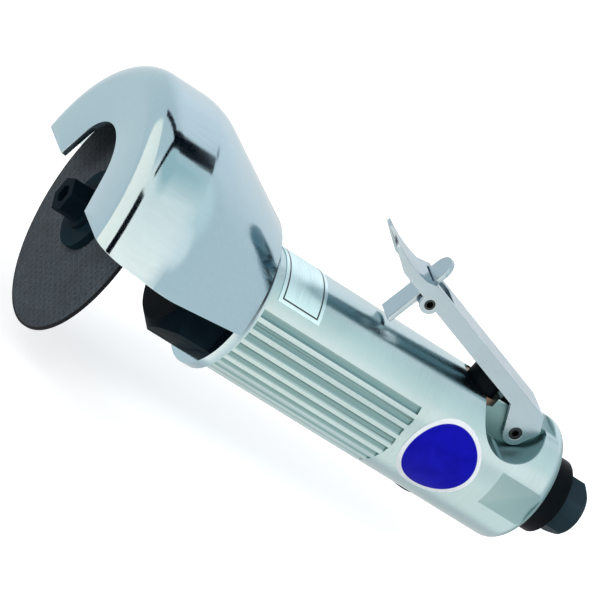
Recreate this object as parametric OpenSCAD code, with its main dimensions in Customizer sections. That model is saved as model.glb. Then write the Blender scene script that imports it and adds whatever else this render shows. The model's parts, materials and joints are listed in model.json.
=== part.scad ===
// Straight air cut-off tool: a vane motor in a round housing turns an abrasive wheel inside a half guard.
// A squeeze lever with a swinging lock works the throttle valve.
// Millimetres. The air inlet's mouth is the origin, +X runs to the wheel and +Z to the lever.

/* [Air inlet] */
// Length of the inlet bushing's hexagon
inlet_hex_len = 10; // [8:0.5:14]
// Hexagon of the inlet bushing, across its flats
inlet_hex_af = 17.2; // [16.4:0.1:20]
// Bore of the quarter inch pipe thread
inlet_bore_d = 11.2; // [10:0.1:12]
// Depth of the threaded bore
inlet_bore_len = 12; // [10:0.5:14]
// Outside of the bushing's neck, which screws into the housing
inlet_neck_d = 15.2; // [14.6:0.1:16]
// Length of the neck inside the housing
inlet_grip_len = 10; // [8:0.5:11]
// Air passage through the bushing and the housing
air_passage_d = 7.6; // [5:0.1:7.8]
// Thickness of the inlet screen
screen_t = 0.8; // [0.5:0.1:1.5]
// Holes in each ring of the inlet screen
screen_hole_count = 6; // [4:1:8]
// Diameter of the inlet screen's holes
screen_hole_d = 1.5; // [0.8:0.1:1.8]

/* [Exhaust] */
// Outside of the exhaust deflector
deflector_d = 24.8; // [24:0.1:28]
// Length of the exhaust deflector
deflector_len = 9.5; // [8:0.5:16]
// Wall of the exhaust deflector
deflector_wall = 1; // [0.8:0.1:1.4]
// Number of vents in the deflector's rear wall
vent_count = 12; // [6:1:14]
// Diameter of each vent
vent_d = 1.5; // [1:0.1:1.6]
// Diameter of the two exhaust passages in the housing
exhaust_d = 4; // [3:0.1:4.4]
// Diameter of the two exhaust grooves along the bore
exhaust_groove_d = 5; // [4.8:0.1:5.6]

/* [Housing] */
// Outside of the housing
body_d = 41.4; // [40.6:0.1:46]
// Wall between the throttle valve and the motor's bore
valve_wall = 2; // [1:0.1:8]
// Rounding of the rear edge
rear_round = 4; // [2:0.5:5]
// Chamfer of the front edge
front_chamfer = 0.6; // [0.3:0.1:1]
// Wall of the housing round the motor
housing_wall = 4.7; // [4.2:0.1:4.9]
// Number of flutes round the sides and bottom
flute_count = 21; // [9:1:25]
// Angle that the flutes cover
flute_span = 226; // [120:1:240]
// Diameter of the cutter that makes a flute
flute_d = 3.2; // [2:0.1:3.6]
// Depth of a flute
flute_depth = 0.8; // [0.4:0.1:1]
// Length of a flute
flute_len = 60; // [40:0.5:64]
// Bare edge in front of the flutes
flute_front_land = 1.6; // [1:0.1:4]
// Width of the rib between the lever's pockets
rib_w = 11.4; // [10:0.1:12]
// Depth of the rib's flat top below the housing's top
rib_drop = 1.3; // [1.1:0.1:2.1]
// Space between the lever's ears and the walls of the pockets beside the rib
pocket_gap = 0.35; // [0.3:0.05:0.8]
// Length of the wrench flats
flat_len = 16; // [10:0.5:18]
// Depth of the wrench flats
flat_depth = 0.9; // [0.5:0.1:1.2]

/* [Plates on the housing] */
// Diameter of the round badge
badge_d = 25.6; // [16:0.1:26]
// Distance of the badge's centre from the housing's rear end
badge_from_rear = 37.8; // [30:0.1:42]
// Bare round land that the flutes leave about the badge
badge_land_d = 31.5; // [28:0.5:36]
// Length of the nameplate along the housing
nameplate_len = 15.5; // [10:0.5:20]
// Distance of the nameplate from the housing's front end
nameplate_from_front = 4; // [3.6:0.1:8]
// Angle that the nameplate covers
nameplate_span = 104; // [60:1:110]
// Thickness of the badge and the nameplate
plate_t = 0.25; // [0.15:0.05:0.4]

/* [Motor] */
// Length of the motor cylinder
cylinder_len = 40; // [32:0.5:46]
// Bore of the motor cylinder, as a share of the housing's bore
cylinder_bore_share = 0.8; // [0.79:0.002:0.81]
// Offset of the cylinder's bore above the rotor's axis
cylinder_offset = 1.3; // [1:0.05:1.4]
// Least gap between the rotor and the cylinder's bore
rotor_gap = 0.3; // [0.2:0.05:1.4]
// Number of vanes
vane_count = 5; // [4:1:6]
// Thickness of a vane
vane_t = 2; // [1.4:0.1:2.4]
// Depth of a vane, as a share of the rotor's depth round the spindle
vane_share = 0.806; // [0.5:0.002:0.86]
// Web of each end plate, between the bearing and the cylinder
end_web_t = 2.5; // [2:0.1:4]
// Diameter of the dowel that stops the cylinder from turning
dowel_d = 2.8; // [2:0.1:3]
// Outside of the front bearing, as a share of the housing's bore
front_bearing_share = 0.75; // [0.72:0.002:0.756]
// Width of the front bearing
front_bearing_w = 8; // [6:0.5:9]
// Outside of the rear bearing, as a share of the housing's bore
rear_bearing_share = 0.6875; // [0.66:0.0005:0.7]
// Width of the rear bearing
rear_bearing_w = 7; // [6:0.5:9]
// Diameter of the spindle in the rotor and the front bearing
spindle_d = 10; // [9:0.1:10.6]
// Diameter of the spindle in the rear bearing
spindle_tail_d = 8; // [7:0.1:8.8]

/* [Clamp nut] */
// Hexagon of the clamp nut, across its flats
nut_af = 38; // [34:0.5:39]
// Length of the hexagon
nut_hex_len = 15.5; // [14:0.5:20]
// Length of the nut's threaded stub inside the housing
nut_stub_len = 12; // [8:0.5:14]
// Opening in the nut's front wall
nut_mouth_d = 14.4; // [14:0.1:18]
// Thickness of the nut's front wall
nut_front_t = 6; // [4:0.5:8]

/* [Cutting wheel] */
// Diameter of the wheel
wheel_d = 76.2; // [60:0.1:80]
// Thickness of the wheel
wheel_t = 1; // [0.8:0.1:3.2]
// Hole in the wheel
wheel_bore_d = 9.5; // [9:0.1:10]
// Distance from the housing's front end to the wheel's front face
wheel_reach = 51; // [44:0.5:56]
// Diameter of the inner and the outer flange
flange_d = 25; // [22:0.5:28]
// Thickness of the inner flange's disc
inner_flange_t = 4; // [3:0.5:6]
// Thickness of the outer flange
outer_flange_t = 2.5; // [2:0.1:4]
// Length of the inner flange's hub behind its disc
hub_len = 18; // [12:0.5:20]
// Outside of the hub and of the sleeve behind it
hub_d = 13.8; // [12.8:0.1:13.8]
// Hexagon of the arbor bolt's head, across its flats
bolt_af = 10; // [9:0.1:12]
// Length of the arbor bolt's hexagon
bolt_head_len = 7; // [5:0.5:8]
// Diameter of the collar under the bolt's head
bolt_collar_d = 14; // [12:0.5:16]
// Thickness of the collar under the bolt's head
bolt_collar_t = 1.5; // [1:0.1:2]
// Thread of the arbor bolt
bolt_thread_d = 6; // [5:0.1:7]
// Length of the bolt's thread inside the spindle
bolt_grip_len = 14; // [10:0.5:18]
// Hexagon socket in the bolt's head, across its flats
bolt_socket_af = 5; // [4:0.1:6]
// Depth of the socket
bolt_socket_len = 4; // [2:0.5:4.5]

/* [Guard] */
// Space between the wheel's rim and the guard
guard_gap = 5.8; // [4.2:0.1:8]
// Wall of the guard
guard_wall = 1.8; // [1.2:0.1:2]
// Distance of the guard's front plate ahead of the wheel's front face
guard_front_gap = 11; // [9:0.5:14]
// Rounding between the front plate and the rim
guard_corner_r = 8.5; // [6:0.5:10]
// Rounding between the rim and the cone
guard_shoulder_r = 20; // [12:0.5:24]
// Length of the rim from the wheel's front face back to the shoulder
guard_rim_len = 8.8; // [6:0.2:14]
// Height of the guard's rear edge above the housing
guard_tail_rise = 7; // [6:0.1:8]
// Height of the guard's lower edge above the axis, at the housing
guard_cut_z = -0.6; // [-1:0.1:3]
// Rise of the guard's lower edge towards its front
guard_cut_angle = 4.6; // [2:0.1:6]
// Turn of the guard from upright, as it is clamped
guard_turn = 4; // [-10:0.5:10]
// Radius of the mouth in the front plate
mouth_r = 17; // [14:0.5:19]
// Height of the mouth's centre above the axis
mouth_z = 7.5; // [5:0.5:10]
// Flare of the mouth's sides
mouth_flare = 24; // [10:1:30]
// Lap of the collar behind the guard's back wall
collar_lap = 1.2; // [0.8:0.1:2]
// Thickness of the guard's collar
collar_t = 3.4; // [2:0.1:5]

/* [Lever] */
// Distance of the lever's pin from the housing's rear end
pin_from_rear = 17; // [16:0.1:18.5]
// Depth of the lever's pin below the housing's top
pin_depth = 6.6; // [6:0.1:7]
// Diameter of the lever's pin
pin_d = 4; // [3:0.1:4.4]
// Bore of the rolled pins
pin_bore_d = 2; // [1:0.1:2.2]
// Angle of the released lever to the housing
lever_angle = 16.5; // [14:0.5:18]
// Outside width of the lever
lever_w = 15; // [14.8:0.1:16]
// Thickness of the lever's sheet
lever_t = 1.5; // [1:0.1:1.6]
// Height of the lever's top above its pin, square to the lever
lever_top_n = 9.8; // [9.4:0.1:11]
// Height of the lever's folded sides
lever_side_h = 5.4; // [4:0.1:6]
// Straight length of the lever ahead of its pin
lever_len = 57; // [54:0.5:62]
// Length of the curled tongue ahead of the straight part
tongue_len = 23.4; // [16:0.2:28]
// Radius of the tongue's upward curl
tongue_r = 50; // [40:1:70]
// Drop of the tongue's root below the lever's top
tongue_drop = 1.8; // [0.8:0.1:2]
// Length of the lever behind its pin
lever_tail_len = 5; // [4:0.1:6]
// Radius of the lever's ears about the pin
ear_r = 4; // [3.4:0.1:4.4]
// Reach of the ears along the lever's sides
ear_reach = 9.5; // [8:0.1:10]
// Free travel between the lever and the plunger
lever_gap = 0.2; // [0.15:0.01:0.4]

/* [Lock] */
// Distance of the lock's pin behind the end of the lever's straight part
lock_from_bend = 3.2; // [2.6:0.1:6]
// Height of the lock's pin above the lever's pin, square to the lever
lock_n = 4.4; // [4:0.1:5]
// Diameter of the lock's pin
lock_pin_d = 3.2; // [2.6:0.1:3.4]
// Thickness of the lock's plate
lock_plate_t = 1.6; // [1.2:0.1:1.8]
// Width of the lock's plate
lock_w = 8.6; // [7.6:0.1:9]
// Distance of the plate's middle ahead of the lock's pin
lock_offset = 2.65; // [2.5:0.05:2.8]
// Rearward lean of the lock's plate
lock_lean = 12.4; // [10:0.2:14]
// Height of the thumb tab above the lock's pin
tab_h = 12.6; // [11:0.1:13]
// Gap between the lock's foot and the housing
foot_gap = 0.8; // [0.7:0.05:1.4]
// Thickness of the lock's ears
lock_ear_t = 1.4; // [1:0.1:1.6]
// Wall of metal round the lock's pin
lock_eye_wall = 1.1; // [0.8:0.1:1.2]
// Wire of the lock's spring
lock_wire_d = 0.4; // [0.3:0.05:0.5]

/* [Throttle valve] */
// Distance of the valve ahead of the lever's pin
valve_from_pin = 16; // [15.5:0.1:17]
// Diameter of the plunger's button
button_d = 11; // [10:0.1:11.4]
// Radius of the button's dome
dome_r = 8; // [7:0.5:10]
// Diameter of the plunger's stem
stem_d = 4; // [3:0.1:5]
// Wall of the brass bush round the button
bush_wall = 1; // [0.8:0.1:1.2]
// Diameter of the bush's flange
bush_flange_d = 15; // [14.4:0.1:15.6]
// Thickness of the bush's flange
bush_flange_t = 2.3; // [1.8:0.1:2.6]
// Depth of the bush's flange seat below the housing's top
bush_recess = 3.9; // [3.6:0.1:4.2]
// Length of the bush below its flange
bush_len = 8.8; // [8.4:0.1:9.4]
// Floor of the bush
bush_floor_t = 2.4; // [1.8:0.1:2.6]
// Height of the chamber between the bush and the valve's seat
outlet_h = 4; // [4:0.1:4.6]
// Opening of the valve's seat
seat_d = 8.8; // [8:0.1:9.4]
// Diameter of the chamber below the seat
chamber_d = 13; // [12.4:0.1:13.4]
// Diameter of the poppet
poppet_d = 11.2; // [10.4:0.1:11.4]
// Thickness of the poppet
poppet_t = 2.2; // [1.6:0.1:3]
// Thickness of the rubber seal on the poppet
seal_t = 0.9; // [0.6:0.1:1.2]
// Diameter of the plug below the valve
plug_d = 14; // [13.8:0.1:15]
// Length of the plug
plug_len = 8; // [6:0.1:9]
// Depth of the plug's face inside the housing
plug_sink = 0.8; // [0.5:0.1:1.4]
// Wire of the valve's spring
spring_wire_d = 1; // [0.7:0.1:1.1]
// Outside of the valve's spring
spring_d = 9; // [8:0.1:10]
// Rise of the valve's spring in one turn
spring_pitch = 1.94; // [1.6:0.02:2.6]

/* [Hidden] */
$fn = 64;

// Clearances: fixed slip fits, running fits, faces that meet, and curved faces that pass each other
slip = 0.05;
run = 0.05;
seat = 0.05;
pass = 0.3;
// How far every cut runs past the surface that it opens
over = 1;

// Places along the axis, from the inlet's mouth to the guard's front
deflector_x = inlet_hex_len;
rear_x = deflector_x + deflector_len;
pin_x = rear_x + pin_from_rear;
valve_x = pin_x + valve_from_pin;
bore_x = valve_x + bush_flange_d / 2 + valve_wall;
rear_plate_len = rear_bearing_w + end_web_t;
front_plate_len = front_bearing_w + end_web_t;
cylinder_x = bore_x + rear_plate_len;
front_plate_x = cylinder_x + cylinder_len;
stub_x = front_plate_x + front_plate_len;
front_x = stub_x + nut_stub_len;
collar_x = front_x + seat;
nut_x = collar_x + collar_t + seat;
nut_front_x = nut_x + nut_hex_len;
wheel_x = front_x + wheel_reach - wheel_t;
inner_flange_x = wheel_x - inner_flange_t;
hub_x = inner_flange_x - hub_len;
sleeve_x = stub_x;
outer_flange_x = wheel_x + wheel_t;
bolt_x = outer_flange_x + outer_flange_t;
bolt_front_x = bolt_x + bolt_collar_t + bolt_head_len;
guard_front_x = wheel_x + wheel_t + guard_front_gap;
spindle_end_x = wheel_x - inner_flange_t / 2;

// Housing
hexagon_share = 1 / cos(30);
body_r = body_d / 2;
bore_r = body_r - housing_wall;
rib_top_z = body_r - rib_drop;
badge_x = rear_x + badge_from_rear;
badge_turn = 3;
flute_x = front_x - flute_front_land - flute_len;
flute_ring_r = body_r - flute_depth + flute_d / 2;
pocket_d = 2 * (norm([ear_r, pin_depth]) + ear_r + pocket_gap);
flat_y = body_r - flat_depth;
flat_land = 2.3;
rib_flat_share = 0.8;
flat_x = rear_x + flat_land;
round_steps = 8;

// Motor
motor_fit_r = bore_r - slip;
cylinder_bore_d = 2 * cylinder_bore_share * bore_r;
rotor_d = cylinder_bore_d - 2 * (cylinder_offset + rotor_gap);
vane_h = vane_share * (rotor_d - spindle_d) / 2;
front_bearing_d = 2 * front_bearing_share * bore_r;
rear_bearing_d = 2 * rear_bearing_share * bore_r;
race_gap = 0.4;
race_share = 0.314;
shield_t = 0.8;
dowel_ring_r = (cylinder_bore_d / 2 - cylinder_offset + motor_fit_r) / 2;
dowel_sink = 1.5;
shaft_gap = 0.5;
tail_gap = 0.3;
feed_d = 2.8;
feed_ring_r = (rear_bearing_d / 2 + motor_fit_r) / 2;
exhaust_ring_r = bore_r - exhaust_d / 4;
exhaust_angle = 120;
exhaust_end_r = inlet_neck_d / 2 + exhaust_d / 2 + shaft_gap;
inlet_hex_r = inlet_hex_af / 2 * hexagon_share;
inlet_bevel_len = 2.4;
inlet_bevel_drop = 0.8;
inlet_bevel_r = inlet_hex_af / 2 - inlet_bevel_drop;
screen_ledge = 1;
screen_r = inlet_bore_d / 2 - screen_ledge;
port_count = 3;
vent_land = 0.3;
port_d = 3.6;

// Clamp nut
nut_stub_r = motor_fit_r;
nut_cavity_r = front_bearing_d / 2 - race_t(front_bearing_d, spindle_d) / 2;
nut_r = nut_af / 2 * hexagon_share;
nut_bevel_len = 5;
nut_bevel_drop = 1.6;
nut_bevel_r = nut_af / 2 - nut_bevel_drop;

// Guard outline: rim, shoulder, cone and front corner
guard_d = wheel_d + 2 * (guard_gap + guard_wall);
guard_r = guard_d / 2;
shoulder_x = wheel_x + wheel_t - guard_rim_len;
shoulder_z = guard_r - guard_shoulder_r;
tail_x = collar_x + collar_t;
back_front_x = tail_x + guard_wall;
back_hole_r = nut_r + pass;
tail_outer_r = body_r + guard_tail_rise;
tail_to_shoulder = [shoulder_x - tail_x, shoulder_z - tail_outer_r];
guard_cone_angle = atan2(tail_to_shoulder[1], tail_to_shoulder[0])
    + asin(guard_shoulder_r / norm(tail_to_shoulder));
cone_x = shoulder_x - guard_shoulder_r * sin(guard_cone_angle);
cone_z = shoulder_z + guard_shoulder_r * cos(guard_cone_angle);
corner_x = guard_front_x - guard_corner_r;
corner_z = guard_r - guard_corner_r;
collar_d = 2 * (back_hole_r + collar_lap);
mouth_low_z = mouth_z - mouth_r;

// Lever, in its own frame: along the lever from the pin, and square to it
pin_z = body_r - pin_depth;
lever_under_n = lever_top_n - lever_t;
lever_low_n = lever_top_n - lever_side_h;
lever_in_w = lever_w - 2 * lever_t;
tongue_n = lever_top_n - tongue_drop;
bend_len = 4;
tip_rise = 0.2;
tip_n = lever_top_n + tip_rise;
tip_t = lever_len + tongue_len;
tip_side_h = 1;
tongue_side_share = 0.45;
lug_wall = 1.5;
lug_r = lock_pin_d / 2 + lug_wall;
tip_round_r = 9;
tip_trim = 0.3;
ear_tuck_share = 0.97;
tail_r = 4;

// Lock, in its own frame: forward and up from its pin
lock_t = lever_len - lock_from_bend;
lock_x = pin_x + lock_t * cos(lever_angle) - lock_n * sin(lever_angle);
lock_z = pin_z + lock_t * sin(lever_angle) + lock_n * cos(lever_angle);
lock_back = lock_offset - lock_plate_t / 2;
foot_len = (lock_z + lock_back * sin(lock_lean) - body_r - foot_gap) / cos(lock_lean);
lock_eye_r = lock_pin_d / 2 + lock_eye_wall;
slot_gap = 1.2;
slot_front = lock_offset + lock_plate_t / 2 + slot_gap;
slot_rear = 6.6;
slot_w = lock_w + 2 * pass;
spring_side_y = (lock_w / 2 + lever_in_w / 2) / 2;
lock_coil_r = lock_pin_d / 2 + lock_wire_d / 2 + pass;
lock_coil_pitch = 1;
lock_coil_turns = 1.25;

// Throttle valve, upwards along Z
bush_seat_z = body_r - bush_recess;
bush_top_z = bush_seat_z + bush_flange_t;
bush_z = bush_seat_z - bush_len;
bush_r = button_d / 2 + run + bush_wall;
seat_z = bush_z - outlet_h;
dome_run = valve_x - pin_x;
dome_z = pin_z + (lever_under_n - dome_r - lever_gap + dome_run * sin(lever_angle)) / cos(lever_angle);
button_gap = 5;
button_z = bush_z + bush_floor_t + button_gap;
ring_d = 1.6;
ring_z = button_z + ring_d;
seal_top_z = seat_z - seat;
poppet_top_z = seal_top_z - seal_t;
poppet_z = poppet_top_z - poppet_t;
stem_tail = 1.6;
stem_z = poppet_z - stem_tail;
plug_z = -body_r + plug_sink;
plug_top_z = plug_z + plug_len;
plug_slot_w = 1.6;
plug_slot_h = 2;
spring_low_z = plug_top_z + spring_wire_d / 2 + seat;
spring_high_z = poppet_z - spring_wire_d / 2 - seat;

// Rings in a turn and sides of a swept wire
wire_rings = 12;
wire_sides = 6;
spring_turns = round(wire_rings * (spring_high_z - spring_low_z) / spring_pitch) / wire_rings;

// Points along an arc, each pair being along and away from the axis
function arc(cx, cz, r, from, to) =
    [for (i = [0 : round_steps])
        let (a = from + (to - from) * i / round_steps) [cx + r * cos(a), cz + r * sin(a)]];
// Swaps along and away for a turned outline
function turned(points) = [for (p = points) [p[1], p[0]]];
// Thickness of a bearing's races
function race_t(d, shaft) = race_share * (d - shaft) / 2;
// Outside radius of the guard's cone at a place along the axis
function guard_outer_r(x) = cone_z - (cone_x - x) * tan(guard_cone_angle);
// Touching point on a circle about the origin for a line from a point outside it
function touch(p, r, side) =
    let (a = atan2(p[1], p[0]) + side * acos(r / norm(p))) [r * cos(a), r * sin(a)];

// Turns a flat outline about the X axis
module spun(points) {
    rotate([0, 90, 0]) rotate_extrude() polygon(turned(points));
}
// A rod along X between two places
module rod_x(x0, x1, r) {
    translate([x0, 0, 0]) rotate([0, 90, 0]) cylinder(h = x1 - x0, r = r);
}
// A ring along X between two places
module ring_x(x0, x1, r_out, r_in) {
    difference() {
        rod_x(x0, x1, r_out);
        rod_x(x0 - over, x1 + over, r_in);
    }
}
// A hexagon bar along X, across its flats
module hex_x(x0, x1, af) {
    translate([x0, 0, 0]) rotate([0, 90, 0]) cylinder(h = x1 - x0, r = af / 2 * hexagon_share, $fn = 6);
}
// A rod along Y, centred on the middle plane
module rod_y(x, z, len, r) {
    translate([x, 0, z]) rotate([90, 0, 0]) cylinder(h = len, r = r, center = true);
}
// A side view, drawn along X and up Z, given a width along Y
module slab_y(w) {
    rotate([90, 0, 0]) linear_extrude(height = w, center = true) children();
}
// A rod between two points
module rod_between(a, b, r) {
    run_v = b - a;
    len = norm(run_v);
    translate(a) rotate([0, acos(run_v[2] / len), atan2(run_v[1], run_v[0])]) cylinder(h = len, r = r);
}
// Frame of the lever about its pin
module lever_frame() {
    translate([pin_x, 0, pin_z]) rotate([0, -lever_angle, 0]) children();
}
// Frame of the lock about its pin
module lock_frame() {
    translate([lock_x, 0, lock_z]) rotate([0, -lock_lean, 0]) children();
}
// Least gap between turns of a coil of wire, measured between points half a turn or more apart
function least_gap(points, d) = min([for (i = [0 : len(points) - 1])
    for (j = [i + wire_rings / 2 : 1 : len(points) - 1]) norm(points[j] - points[i]) - d]);
// A wire swept along points, with a radial direction at each and one shared axis
module wire(points, radials, axis, r) {
    rows = len(points);
    ring = [for (i = [0 : rows - 1]) for (j = [0 : wire_sides - 1])
        let (a = 360 * j / wire_sides) points[i] + r * (cos(a) * radials[i] + sin(a) * axis)];
    sides = [for (i = [0 : rows - 2]) for (j = [0 : wire_sides - 1])
        let (k = (j + 1) % wire_sides, a = i * wire_sides)
        each [[a + j, a + k, a + wire_sides + k], [a + j, a + wire_sides + k, a + wire_sides + j]]];
    cap_a = [for (j = [1 : wire_sides - 2]) [0, j + 1, j]];
    last = (rows - 1) * wire_sides;
    cap_b = [for (j = [1 : wire_sides - 2]) [last, last + j, last + j + 1]];
    polyhedron(points = ring, faces = concat(sides, cap_a, cap_b));
}

// Turned form of the housing, with the motor's bore
module housing_body() {
    spun(concat(
        [[rear_x, 0]],
        arc(rear_x + rear_round, body_r - rear_round, rear_round, 180, 90),
        [[front_x - front_chamfer, body_r], [front_x, body_r - front_chamfer], [front_x, bore_r],
            [bore_x, bore_r], [bore_x, 0]]));
}
module flute_cuts() {
    difference() {
        for (i = [0 : flute_count - 1]) {
            a = 180 - flute_span / 2 + flute_span * i / (flute_count - 1);
            rotate([-a, 0, 0]) translate([flute_x, 0, flute_ring_r]) rotate([0, 90, 0])
                cylinder(h = flute_len, d = flute_d, $fn = 24);
        }
        rod_y(badge_x, 0, body_d + flute_d, badge_land_d / 2);
    }
}
module lever_pocket_cuts() {
    for (side = [-1, 1])
        translate([0, side * (rib_w + body_d) / 2, 0])
            rod_y(pin_x + ear_r, body_r, body_d, pocket_d / 2);
    translate([pin_x - pocket_d / 2, -body_r, rib_top_z]) cube([rib_flat_share * pocket_d, body_d, body_r]);
}
module wrench_flat_cuts() {
    for (side = [-1, 1])
        translate([flat_x, side * (flat_y + body_r / 2) - body_r / 2, -body_r])
            cube([flat_len, body_r, body_d]);
}
module valve_cuts() {
    translate([valve_x, 0, bush_seat_z]) cylinder(h = body_r, d = bush_flange_d + 2 * slip);
    translate([valve_x, 0, bush_z]) cylinder(h = body_r - bush_z, r = bush_r + slip);
    translate([valve_x, 0, seat_z - over]) cylinder(h = outlet_h + 2 * over, d = seat_d);
    translate([valve_x, 0, -body_r]) cylinder(h = seat_z + body_r, d = chamber_d);
    translate([valve_x, 0, -body_r - over]) cylinder(h = plug_sink + plug_len + over, d = plug_d + 2 * slip);
}
module air_cuts() {
    rod_x(rear_x - over, rear_x + inlet_grip_len, inlet_neck_d / 2 + slip);
    rod_x(rear_x, valve_x, air_passage_d / 2);
    translate([0, 0, bush_z - outlet_h / 2]) rod_x(valve_x, bore_x, feed_d / 2);
    translate([bore_x - feed_d, -feed_d / 2, bush_z - outlet_h / 2])
        cube([feed_d + over, feed_d, feed_ring_r + feed_d / 2 - bush_z + outlet_h / 2]);
    for (side = [-1, 1]) rotate([side * exhaust_angle, 0, 0]) {
        rod_between([rear_x - over, 0, exhaust_end_r], [bore_x, 0, exhaust_ring_r], exhaust_d / 2);
        translate([0, 0, exhaust_ring_r]) rod_x(bore_x - over, front_plate_x, exhaust_groove_d / 2);
    }
}
module housing() {
    color("lightsteelblue") difference() {
        housing_body();
        flute_cuts();
        lever_pocket_cuts();
        wrench_flat_cuts();
        valve_cuts();
        air_cuts();
        rod_y(pin_x, pin_z, body_d, pin_d / 2 + slip);
        translate([0, 0, -dowel_ring_r]) rod_x(bore_x - dowel_sink, bore_x + over, dowel_d / 2 + slip);
    }
}
module nameplate() {
    x0 = front_x - nameplate_from_front - nameplate_len;
    color("gainsboro") rotate([0, 90, 0]) rotate([0, 0, 180 - nameplate_span / 2])
        rotate_extrude(angle = nameplate_span) translate([body_r, x0]) square([plate_t, nameplate_len]);
}
module badge() {
    color("mediumblue") intersection() {
        ring_x(badge_x - badge_d, badge_x + badge_d, body_r + plate_t, body_r);
        rotate([-badge_turn, 0, 0]) translate([0, body_r, 0]) rod_y(badge_x, 0, body_d, badge_d / 2);
    }
}
module clamp_nut() {
    color([0.08, 0.11, 0.14]) difference() {
        union() {
            rod_x(stub_x, nut_x, nut_stub_r);
            intersection() {
                hex_x(nut_x, nut_front_x, nut_af);
                spun([[nut_x, 0], [nut_x, nut_r], [nut_front_x - nut_bevel_len, nut_r],
                    [nut_front_x, nut_bevel_r], [nut_front_x, 0]]);
            }
        }
        rod_x(stub_x - over, nut_front_x + over, nut_mouth_d / 2);
        rod_x(stub_x - over, nut_front_x - nut_front_t, nut_cavity_r);
    }
}

// Guard: a turned shell with a back wall, cut along a sloping plane, and a horseshoe mouth in its front plate
module guard_shell() {
    inner_corner_r = guard_corner_r - guard_wall;
    inner_shoulder_r = guard_shoulder_r - guard_wall;
    inner_back_r = guard_outer_r(back_front_x) - guard_wall / cos(guard_cone_angle);
    spun(concat(
        [[tail_x, back_hole_r], [tail_x, guard_outer_r(tail_x)]],
        arc(shoulder_x, shoulder_z, guard_shoulder_r, 90 + guard_cone_angle, 90),
        arc(corner_x, corner_z, guard_corner_r, 90, 0),
        [[guard_front_x, 0], [guard_front_x - guard_wall, 0]],
        arc(corner_x, corner_z, inner_corner_r, 0, 90),
        arc(shoulder_x, shoulder_z, inner_shoulder_r, 90, 90 + guard_cone_angle),
        [[back_front_x, inner_back_r], [back_front_x, back_hole_r]]));
}
module mouth_cut() {
    touch_y = mouth_r * cos(mouth_flare);
    touch_z = mouth_z + mouth_r * sin(mouth_flare);
    low_y = touch_y + (touch_z - mouth_low_z) * tan(mouth_flare);
    translate([corner_x, 0, 0]) rotate([90, 0, 90]) linear_extrude(height = 2 * guard_corner_r) {
        translate([0, mouth_z]) circle(r = mouth_r);
        polygon([[-touch_y, touch_z], [touch_y, touch_z], [low_y, mouth_low_z], [-low_y, mouth_low_z]]);
    }
}
module wheel_guard() {
    color("powderblue") rotate([guard_turn, 0, 0]) difference() {
        guard_shell();
        translate([front_x, -guard_d, guard_cut_z]) rotate([0, -guard_cut_angle, 0])
            translate([-guard_d, 0, -guard_d]) cube([2 * guard_d + wheel_reach, 2 * guard_d, guard_d]);
        mouth_cut();
    }
}
module guard_collar() {
    color("powderblue") ring_x(collar_x, collar_x + collar_t, collar_d / 2, nut_stub_r + run);
}

// Motor
module front_end_plate() {
    color("silver") difference() {
        rod_x(front_plate_x, stub_x, motor_fit_r);
        rod_x(front_plate_x - over, stub_x + over, spindle_d / 2 + shaft_gap);
        rod_x(front_plate_x + end_web_t, stub_x + over, front_bearing_d / 2);
    }
}
module rear_end_plate() {
    color("silver") difference() {
        rod_x(bore_x, cylinder_x, motor_fit_r);
        rod_x(bore_x - over, cylinder_x + over, spindle_d / 2 + shaft_gap);
        rod_x(bore_x - over, cylinder_x - end_web_t, rear_bearing_d / 2);
        translate([0, 0, feed_ring_r]) rod_x(bore_x - over, cylinder_x + over, feed_d / 2);
        translate([0, 0, -dowel_ring_r]) rod_x(bore_x - over, cylinder_x + over, dowel_d / 2 + slip);
    }
}
// Shielded bearing: the outer race carries the shields, and the inner race turns inside them
module bearing_outer(x0, w, d, shaft) {
    race = race_t(d, shaft);
    shield_r = shaft / 2 + race + race_gap;
    spun([[x0, d / 2], [x0 + w, d / 2], [x0 + w, shield_r], [x0 + w - shield_t, shield_r],
        [x0 + w - shield_t, d / 2 - race], [x0 + shield_t, d / 2 - race], [x0 + shield_t, shield_r],
        [x0, shield_r]]);
}
module front_bearing_outer() {
    color("lightgray") bearing_outer(front_plate_x + end_web_t, front_bearing_w, front_bearing_d, spindle_d);
}
module front_bearing_inner() {
    color("lightgray") ring_x(front_plate_x + end_web_t, stub_x,
        spindle_d / 2 + race_t(front_bearing_d, spindle_d), spindle_d / 2);
}
module rear_bearing_outer() {
    color("lightgray") bearing_outer(bore_x, rear_bearing_w, rear_bearing_d, spindle_tail_d);
}
module rear_bearing_inner() {
    color("lightgray")
        ring_x(bore_x + tail_gap, bore_x + rear_bearing_w,
            spindle_tail_d / 2 + race_t(rear_bearing_d, spindle_tail_d), spindle_tail_d / 2);
}
module motor_cylinder() {
    port_pitch = cylinder_len / (port_count + 1);
    color("slategray") difference() {
        rod_x(cylinder_x, front_plate_x, motor_fit_r);
        translate([0, 0, cylinder_offset])
            rod_x(cylinder_x - over, front_plate_x + over, cylinder_bore_d / 2);
        translate([0, 0, -dowel_ring_r]) rod_x(cylinder_x - over, front_plate_x + over, dowel_d / 2 + slip);
        for (side = [-1, 1]) for (i = [1 : port_count])
            rotate([side * exhaust_angle, 0, 0]) translate([cylinder_x + i * port_pitch, 0, 0])
                cylinder(h = bore_r, d = port_d);
    }
}
module cylinder_pin() {
    color("dimgray") translate([0, 0, -dowel_ring_r]) rod_x(bore_x - dowel_sink, front_plate_x, dowel_d / 2);
}
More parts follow.
